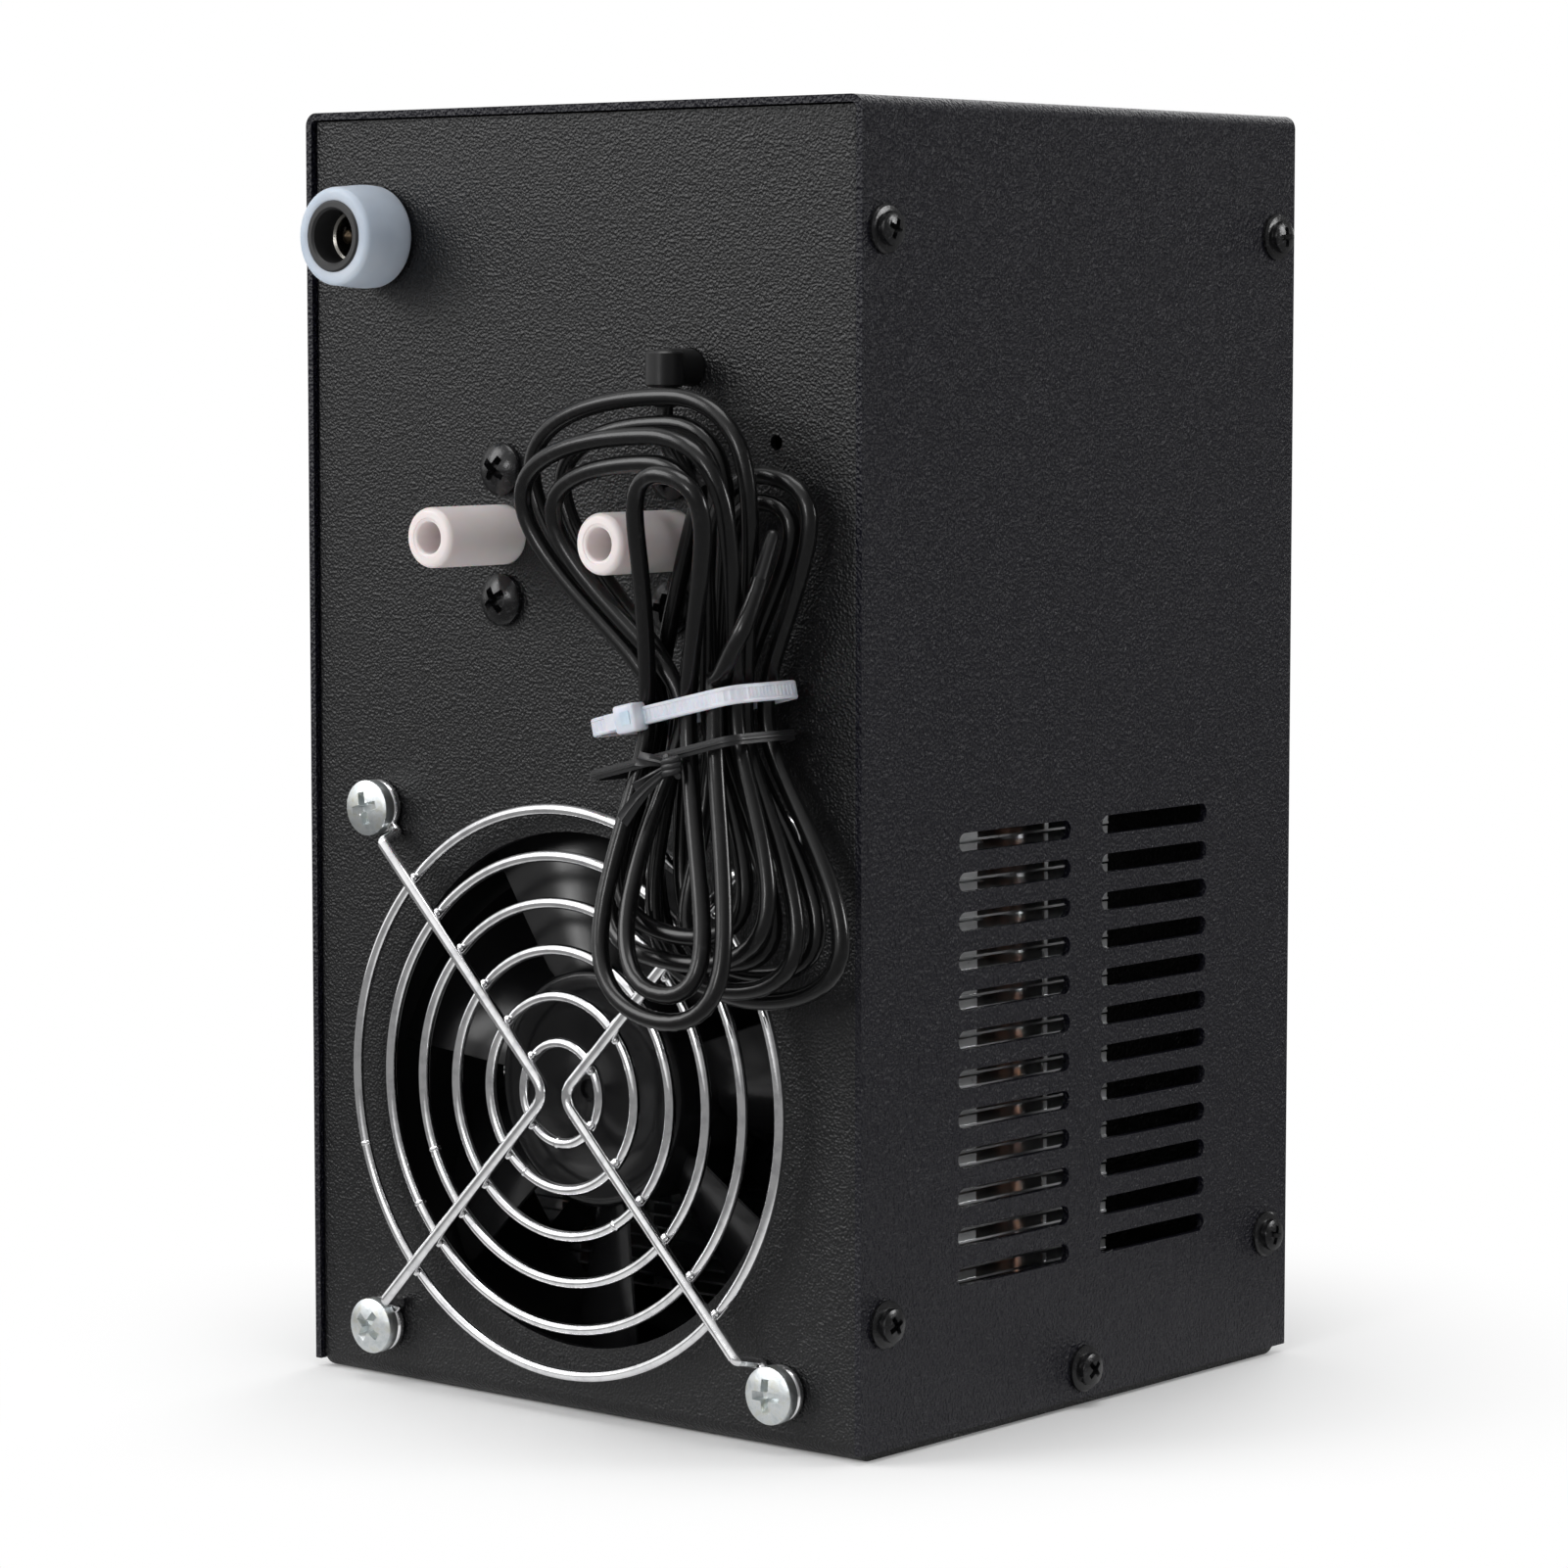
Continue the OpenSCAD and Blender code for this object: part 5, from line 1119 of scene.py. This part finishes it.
# fan rotor: cup and swept blades
def bladePoint(rotor, spin, u, v, side):
    # u runs from root to tip, v across the blade from -1 to 1, side is the face
    radius = rotor["root"] + (rotor["tip"] - rotor["root"]) * u
    chord = rotor["chordRoot"] + (rotor["chordTip"] - rotor["chordRoot"]) * u
    pitch = math.radians(rotor["pitchRoot"] + (rotor["pitchTip"] - rotor["pitchRoot"]) * u)
    along = v * chord / 2
    arch = rotor["camber"] * (1 - v * v) - rotor["camber"] * 0.6
    half = rotor["thick"] * (1.15 - 0.45 * u) / 2 * math.sqrt(max(0.06, 1 - abs(v) ** 3))
    tangent = along * math.cos(pitch) - (arch + side * half) * math.sin(pitch)
    lift = along * math.sin(pitch) + (arch + side * half) * math.cos(pitch)
    turn = spin + (tangent + rotor["sweep"] * (u - 0.5) * 0.4) / max(radius, 18.0)
    height = min(max(rotor["mid"] + lift, rotor["lowest"]), rotor["highest"])
    return Vector((radius * math.cos(turn), radius * math.sin(turn), height)) * mm


def makeRotor():
    rotor = {
        "cup": 16.0, "cupHeight": 18.0, "front": 24.0, "wall": 2.0, "rim": 1.4,
        "blades": 7, "root": 15.0, "tip": 37.3, "mid": 14.0, "lowest": 4.4, "highest": 23.4,
        "chordRoot": 19.0, "chordTip": 27.5, "pitchRoot": 42.0, "pitchTip": 30.0,
        "camber": 1.9, "thick": 1.5, "sweep": 7.0, "spans": 14, "chords": 16,
    }
    home = onPort(0, fanPlace["z"], -box["sheet"] - fanPlace["depth"])
    b = bmesh.new()
    front, low, r = rotor["front"], rotor["front"] - rotor["cupHeight"], rotor["cup"]
    profile = [(r - rotor["wall"], low), (r, low)]
    profile += arc(r - rotor["rim"], front - rotor["rim"], rotor["rim"], 0, 90, 6)
    # dished front with a raised centre ring and the ejector dimple
    profile += [(11.0, front), (10.6, front - 0.25), (2.2, front - 0.25), (1.9, front), (1.3, front),
                (1.1, front - 0.6), (0, front - 0.6), (0, front - rotor["wall"]),
                (r - rotor["wall"], front - rotor["wall"])]
    turnProfile(b, profile, 96, closed=True, at=home)
    spans, chords = rotor["spans"], rotor["chords"]
    for number in range(rotor["blades"]):
        spin = 2 * math.pi * number / rotor["blades"]
        # the blade's two faces, then its ends and its leading and trailing edges
        upper, lower = [], []
        for i in range(spans + 1):
            upper.append([])
            lower.append([])
            for j in range(chords + 1):
                u, v = i / spans, j / chords * 2 - 1
                upper[i].append(b.verts.new(home @ bladePoint(rotor, spin, u, v, 1)))
                lower[i].append(b.verts.new(home @ bladePoint(rotor, spin, u, v, -1)))
        for face in (upper, lower):
            for i in range(spans):
                for j in range(chords):
                    b.faces.new((face[i][j], face[i][j + 1], face[i + 1][j + 1], face[i + 1][j]))
        for i in range(spans):
            for j in (0, chords):
                b.faces.new((upper[i][j], upper[i + 1][j], lower[i + 1][j], lower[i][j]))
        for j in range(chords):
            for i in (0, spans):
                b.faces.new((upper[i][j], upper[i][j + 1], lower[i][j + 1], lower[i][j]))
    dressed(b, "fanRotor", "fanGloss", "fan_black", "fan_rotor", body="rotor", sharpAngle=42)


makeRotor()
print("rotor ready")


# hose nozzles, power jack and strain relief on the port panel
def makeNozzles():
    nozzle = {"radius": 4.0, "bore": 2.1, "length": 14.5, "rim": 0.9, "flange": 6.2, "flangeThick": 3.0,
              "ear": 3.4, "barb": 3.4, "barbLength": 7.4, "barbCone": 1.8}
    r, rim, length, bore, barb = (nozzle[k] for k in ("radius", "rim", "length", "bore", "barb"))
    behind = -box["sheet"]
    back = behind - nozzle["flangeThick"]
    tip = back - nozzle["barbLength"]
    profile = [(r - 0.3, -0.9), (r, 0.0), (r, 0.02)]
    profile += arc(r - rim, length - rim, rim, 0, 78, 7)
    profile += [(bore + 0.55, length), (bore + 0.42, length - 0.12)]
    profile += arc(bore + 0.4, length - 0.5, 0.4, 90, 180, 4)
    cone = tip + nozzle["barbCone"]
    profile += [(bore, tip), (barb - 0.3, tip), (barb, cone), (barb - 0.3, cone + 0.1), (barb - 0.3, back),
                (nozzle["flange"], back), (nozzle["flange"], behind), (r - 0.3, behind)]
    ear = [(0, back), (nozzle["ear"], back), (nozzle["ear"], behind), (0, behind)]
    bridge = (2 * nozzle["ear"], 2 * ports["earRise"], nozzle["flangeThick"] * 0.98)
    pieces = (("inletNozzle", "inlet_nozzle"), ("outletNozzle", "outlet_nozzle"))
    for x, (name, node) in zip(ports["nozzleX"], pieces):
        b = bmesh.new()
        turnProfile(b, profile, 72, closed=True, at=onPort(x, ports["nozzleZ"]))
        for s in (-1, 1):
            turnProfile(b, ear, 40, closed=False, at=onPort(x, ports["nozzleZ"] + s * ports["earRise"]))
        addBox(b, bridge, onPort(x, ports["nozzleZ"], -2.5))
        dressed(b, name, "nozzle", "nozzle_white", node, sharpAngle=30)


def makeJack():
    jack = {"radius": 4.8, "length": 9.1, "bore": 3.6, "inside": 12.0, "threads": 9,
            "sleeve": 6.95, "sleeveLength": 8.95, "fingers": 3, "finger": (0.3, 0.9, 4.2), "fingerIn": 2.65,
            "contact": [(3.58, -2.0), (3.58, 5.3), (3.3, 5.5), (2.95, 5.3), (2.75, 4.9), (2.75, -2.0)],
            "pinFoot": [(0, -3.0), (3.55, -3.0), (3.55, -2.0), (1.05, -2.0), (1.05, 5.7)],
            "pinTip": [(0.25, 6.55), (0, 6.6)]}
    at = onPort(*ports["jack"])
    b = bmesh.new()
    r, length = jack["sleeve"], jack["sleeveLength"]
    # barrel shaped silicone sleeve: full near the panel, drawn in at its outer end
    profile = [(jack["radius"], 0.0), (r - 1.5, 0.02)] + arc(r - 1.5, 1.45, 1.42, -80, 0, 6)
    profile += [(r, 2.6), (r - 0.02, 3.8), (r - 0.1, 5.0), (r - 0.22, 6.3)]
    profile += arc(r - 1.2, length - 0.85, 0.85, 8, 84, 7)
    profile += [(jack["radius"] + 0.35, length), (jack["radius"], length - 0.15)]
    turnProfile(b, profile, 80, closed=True, at=at)
    dressed(b, "jackSleeve", "silicone", "sleeve_clear", "jack_sleeve", sharpAngle=50)

    b = bmesh.new()
    r, bore, length = jack["radius"], jack["bore"], jack["length"]
    profile = [(0, -jack["inside"]), (r, -jack["inside"]), (r, length - 0.25), (r - 0.25, length),
               (bore + 0.3, length), (bore, length - 0.3), (bore, length - 3.4), (bore - 0.001, -3.0),
               (0, -3.0)]
    turnProfile(b, profile, 72, closed=False, at=at)
    # threads behind the panel, where the nut sits
    for k in range(jack["threads"]):
        turnProfile(b, [(r - 0.02, -1.6 - k), (r, -1.85 - k), (r - 0.02, -2.1 - k)], 72, closed=True, at=at)
    dressed(b, "jackBarrel", "jack", "jack_black", "jack_body", sharpAngle=30)

    b = bmesh.new()
    turnProfile(b, jack["contact"], 64, closed=True, at=at)
    for k in range(jack["fingers"]):
        # spring fingers pressed inwards
        turned = at @ Matrix.Rotation(math.radians(40 + 120 * k), 4, "Z")
        addBox(b, jack["finger"], turned @ Matrix.Translation(Vector((jack["fingerIn"], 0, 2.0)) * mm))
    dressed(b, "jackContact", "contact", "contact", "jack_ring", sharpAngle=30)

    b = bmesh.new()
    profile = jack["pinFoot"] + arc(0.45, 5.7, 0.6, 10, 80, 4) + jack["pinTip"]
    turnProfile(b, profile, 40, closed=False, at=at)
    dressed(b, "jackPin", "pin", "contact", "jack_pin", sharpAngle=40)


def makeStrainRelief():
    bush = {"out": 5.1, "neck": 2.4, "inside": 3.6, "body": 2.5, "top": 2.1, "low": 2.5, "sleeve": 1.7,
            "sleeveLength": 2.5, "ribs": 4, "ribStep": 0.58}
    at = onPort(*ports["bush"])
    b = bmesh.new()
    behind = -box["sheet"]
    inside, neck, out = bush["inside"], bush["neck"], bush["out"]
    stem = [(0, behind - 1.6), (inside, behind - 1.6), (inside, behind - 0.1), (inside - 0.1, behind),
            (neck, behind), (neck, out), (0, out)]
    turnProfile(b, stem, 48, closed=False, at=at)
    hangs = Matrix.Rotation(math.radians(90), 4, "X")
    down = at @ Matrix.Translation(Vector((0, bush["top"], out)) * mm) @ hangs
    total = bush["top"] + bush["low"]
    body, sleeve = bush["body"], bush["sleeve"]
    profile = [(0, 0.12), (body - 0.75, 0.12), (body - 0.55, 0.0), (body - 0.25, 0.05), (body, 0.3),
               (body, total - 0.3), (body - 0.3, total), (sleeve, total + 0.05)]
    for k in range(bush["ribs"]):
        # ribs of the bend relief
        z = total + 0.3 + k * bush["ribStep"]
        profile += [(sleeve, z), (sleeve, z + 0.3), (sleeve - 0.25, z + 0.34), (sleeve - 0.25, z + 0.54)]
    profile += [(sleeve - 0.1, total + bush["sleeveLength"]), (0, total + bush["sleeveLength"])]
    turnProfile(b, profile, 48, closed=False, at=down)
    dressed(b, "strainRelief", "bush", "bush_black", "strain_relief", sharpAngle=32)


makeNozzles()
makeJack()
makeStrainRelief()
print("ports ready")


# cooling core seen through the slots
def makeFins():
    fins = {"count": 40, "pitch": 1.72, "thick": 0.3, "z": 12.0, "width": 86.0, "depth": 33.4, "tab": 4.6,
            "rib": 0.9, "ribY": 2.85, "seam": 0.3, "topTab": 0.4, "stray": 0.05, "pipeX": 34.0, "pipeY": 5.0,
            "collar": [(3.05, 0.1), (3.6, 0.1), (3.3, 0.9), (3.05, 0.9)],
            "clipX": (-25.5, -8.4), "clipWidth": 3.2}
    b = bmesh.new()
    wide, deep, thick = fins["width"], fins["depth"], fins["thick"]
    tall = fins["pitch"] - fins["seam"]
    # each end column: place across the fin's depth, and length
    columns = ((-deep / 2 + fins["tab"] / 2, fins["tab"]), (deep / 2 - fins["tab"] / 2, fins["tab"]),
               (fins["ribY"], fins["rib"]))

    def addPlate(size, x, y, z):
        addBox(b, size, Matrix.Translation(Vector((x, coreY + y, z)) * mm))

    for k in range(fins["count"]):
        z = fins["z"] + k * fins["pitch"]
        addPlate((wide, deep, thick), 0, 0, z + thick / 2)
        if k == fins["count"] - 1:
            tall = fins["topTab"]
        for side in (-1, 1):
            # folded tabs, one fin's standing on the next, each a touch off the line
            stray = fins["stray"] * math.sin(k * 2.3 + side)
            x = side * (wide / 2 - thick / 2) - side * (0.05 + abs(stray))
            for y, length in columns:
                addPlate((thick, length - 0.1 + stray, tall), x, y, z + tall / 2)
            for row in (-1, 1):
                pipeAt = Vector((side * fins["pipeX"], coreY + row * fins["pipeY"], z)) * mm
                turnProfile(b, fins["collar"], 20, closed=True, at=Matrix.Translation(pipeAt))
        # clip strips folded on the front edge
        for x in fins["clipX"]:
            addPlate((fins["clipWidth"], thick, tall), x, -deep / 2 + thick / 2, z + tall / 2)
    dressed(b, "finStack", "fin", "fin_aluminium", "fin_stack", sharpAngle=30)


def makePipes():
    pipe = {"radius": 3.0, "legX": 34.0, "bend": 8.0, "runZ": 102.2, "footZ": 7.8, "midZ": 60, "rowY": 5.0,
            "endTaper": 5.0, "endRadius": 0.35}
    legX, bend = pipe["legX"], pipe["bend"]
    # up one leg, over and down the other
    outline = [(-legX, pipe["footZ"]), (-legX, pipe["midZ"])]
    outline += arc(-legX + bend, pipe["runZ"] - bend, bend, 180, 90, 12)
    outline += arc(legX - bend, pipe["runZ"] - bend, bend, 90, 0, 12)
    outline += [(legX, pipe["midZ"]), (legX, pipe["footZ"])]
    b = bmesh.new()
    for row in (-1, 1):
        line = smoothPath([Vector((x, coreY + row * pipe["rowY"], z)) * mm for x, z in outline], 1.6 * mm)
        ends = pipe["endTaper"] * mm / pathLength(line)

        def pipeRadius(t):
            swell = ease(min(t, 1 - t) / ends)
            return pipe["radius"] * (pipe["endRadius"] + (1 - pipe["endRadius"]) * swell)

        sweepRound(b, line, 0, 24, radiusAt=pipeRadius)
    dressed(b, "heatPipes", "copper", "copper", "heat_pipes", sharpAngle=50)


makeFins()
makePipes()
print("core ready")


# control panel on the far end
def makeDisplay():
    display = {"z": 152.0, "lens": (24.0, 9.0), "lensThick": 0.8, "bezelEdge": 0.35, "lensEdge": 0.15,
               "digit": (4.2, 6.6), "digitX": 5.2, "stroke": 0.75, "lean": 0.1, "under": 1.85}
    bezel = coatedPiece(mergedSolid("display_bezel"), "displayBezel", display["bezelEdge"], 3)
    finishPiece(bezel, "bezel", "case", "bezel_black", "display_bezel")
    b = bmesh.new()
    addBox(b, (*display["lens"], display["lensThick"]), onFront(0, display["z"], display["lensThick"] / 2))
    lens = showMesh(meshFrom(b, "displayLens"), "displayLens")
    roundEdges(lens, display["lensEdge"])
    settle(lens)
    finishPiece(lens, "lens", "case", "lens_red", "display_lens")
    # unlit bars of two digits, under the lens
    b = bmesh.new()
    wide, tall = display["digit"]
    t = display["stroke"]
    bars = [(0, tall / 2, wide - t, t), (0, 0, wide - t, t), (0, -tall / 2, wide - t, t)]
    bars += [(sx * wide / 2, sy * tall / 4, t, tall / 2 - t) for sx in (-1, 1) for sy in (-1, 1)]
    for x in (-display["digitX"], display["digitX"]):
        for bx, by, w, h in bars:
            at = onFront(x + bx + by * display["lean"], display["z"] + by, -display["under"])
            addBox(b, (w, h, 0.2), at)
    dressed(b, "digitBars", "key", "display_black")


def makeKeys():
    key = {"z": 134.0, "step": 14.0, "radius": 3.5, "out": 1.5, "back": 2.9, "flange": 4.6,
           "flangeFrom": 2.6, "flangeTo": 1.2, "rim": 0.5, "dish": 0.25,
           "arrow": ((0, 1.1), (-1.1, -0.7), (1.1, -0.7))}
    r, out, rim, dish = key["radius"], key["out"], key["rim"], key["dish"]
    profile = [(0, -key["back"]), (r, -key["back"]), (r, -key["flangeFrom"]),
               (key["flange"], -key["flangeFrom"]), (key["flange"], -key["flangeTo"]), (r, -key["flangeTo"])]
    profile += arc(r - rim, out - rim, rim, 0, 90, 5)
    profile += [(2.2, out - dish * 0.45), (1.1, out - dish * 0.85), (0, out - dish)]
    ring = [(0.55, out - 0.3), (1.05, out - 0.3), (1.0, out - 0.03), (0.6, out - 0.03)]
    # name, node, body, and which way the raised arrow points: the set key has a ring
    keys = (("setKey", "button_set", "key_set", 0), ("upKey", "button_up", "key_up", 1),
            ("downKey", "button_down", "key_down", -1))
    for k, (name, node, body, up) in enumerate(keys):
        at = onFront((k - 1) * key["step"], key["z"])
        b = bmesh.new()
        turnProfile(b, profile, 56, closed=False, at=at)
        if up:
            corners = [(x, y * up) for x, y in key["arrow"]]
            low = [b.verts.new(at @ (Vector((x, y, out - 0.3)) * mm)) for x, y in corners]
            top = [b.verts.new(at @ (Vector((x * 0.85, y * 0.85, out - 0.02)) * mm)) for x, y in corners]
            b.faces.new(top)
            joinRings(b, low, top)
        else:
            turnProfile(b, ring, 32, closed=True, at=at)
        dressed(b, name, "key", "key_grey", node, body=body, sharpAngle=35)


makeDisplay()
makeKeys()
print("controls ready")


# wires inside, smooth where the solids are faceted
def makeWires():
    wire = {"radius": 0.8, "step": 1.2, "pitch": 5.0, "poles": 7, "faceY": 27.3, "poleZ": 134.0}

    def runWire(name, look, slot, node, start, out, pole, back, radius=wire["radius"]):
        # out from the start, then back from the terminal's pole, as offsets in mm
        end = Vector(((pole - (wire["poles"] - 1) / 2) * wire["pitch"], wire["faceY"], wire["poleZ"]))
        points = [(Vector(start) + Vector(p)) * mm for p in out] + [(end + Vector(p)) * mm for p in back]
        b = bmesh.new()
        sweepRound(b, smoothPath(points, wire["step"] * mm), radius, 12)
        dressed(b, name, look, slot, node, sharpAngle=60)

    jackX, jackZ = ports["jack"]
    bushX, bushZ = ports["bush"]
    for s, (look, letter) in enumerate((("redWire", "A"), ("blackWire", "B"))):
        runWire("jackWire" + letter, look, "wire_red", "jack_wires",
                (jackX + 0.8 * (4 * s - 2), -34.9, jackZ),
                [(0, 0, 0), (0, 4, 0), (0.6, 10, -2), (2, 30, -6), (6 + s, 46, -14)],
                s, [(-2, -8, 2), (0, -3, 0), (0, 0, 0)])
        runWire("tileWire" + letter, look, "wire_red", "tile_wires", (2 + (2 * s - 1) * 8, coreY + 20, 109.1),
                [(0, 0, 0), (0, 4, 0), (0, 6, 1), (-2 * s, 8.6, 6)],
                2 + s, [(0, -2.6, -10), (0, -3.4, -3), (0, -3, 0), (0, 0, 0)])
        runWire("fanWire" + letter, look, "wire_black", "fan_wires", (-36 + 2.4 * s, -22.9, 83.5),
                [(0, 0, 0), (0, 0, 4), (-1, 0, 14), (-1, 2, 50), (0, 8, 56), (6, 26, 56),
                 (14, 36 - 3 * s, 54)],
                4 + s, [(-6, -8 - 3 * s, 2), (-1, -5, 0.5), (0, -3, 0), (0, 0, 0)])
    runWire("leadInside", "lead", "lead_black", "sensor_wire", (bushX, -44.3, bushZ),
            [(0, 0, 0), (0, 3, 0), (0, 12, -0.5), (-1, 50, -2)],
            6, [(1, -10, 2), (0, -3, 0), (0, 0, 0)], lead["diameter"] / 2)


makeWires()
print("wires ready")

# solids that stay as they are take their finish
keptSolids = {
    "fan_frame": "fanSatin", "fan_bearing": "bronze", "fan_stator": "coil", "fan_shaft": "steel",
    "fan_magnet": "ferrite", "nozzle_nuts": "zinc", "jack_nut": "zinc", "water_block": "milled",
    "block_gasket": "gasket", "block_lid": "milled", "inlet_tube": "hose", "outlet_tube": "hose",
    "tube_clips": "zinc", "peltier": "ceramic", "foam_jacket": "foam", "clamp_plate": "milled",
    "clamp_screws": "zinc", "heatsink_base": "milled", "core_bracket": "zinc", "control_board": "board",
    "board_posts": "zinc", "board_screws": "zinc", "display_module": "displayBlack",
    "switch_bodies": "displayBlack", "capacitor": "capacitor", "terminal_block": "terminal",
    "power_chip": "displayBlack",
}
for node, look in keptSolids.items():
    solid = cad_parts[node]
    for place in solid.material_slots:
        place.material = looks[look]
    if not solid.material_slots:
        solid.data.materials.append(looks[look])
print("kept solids dressed:", len(keptSolids))
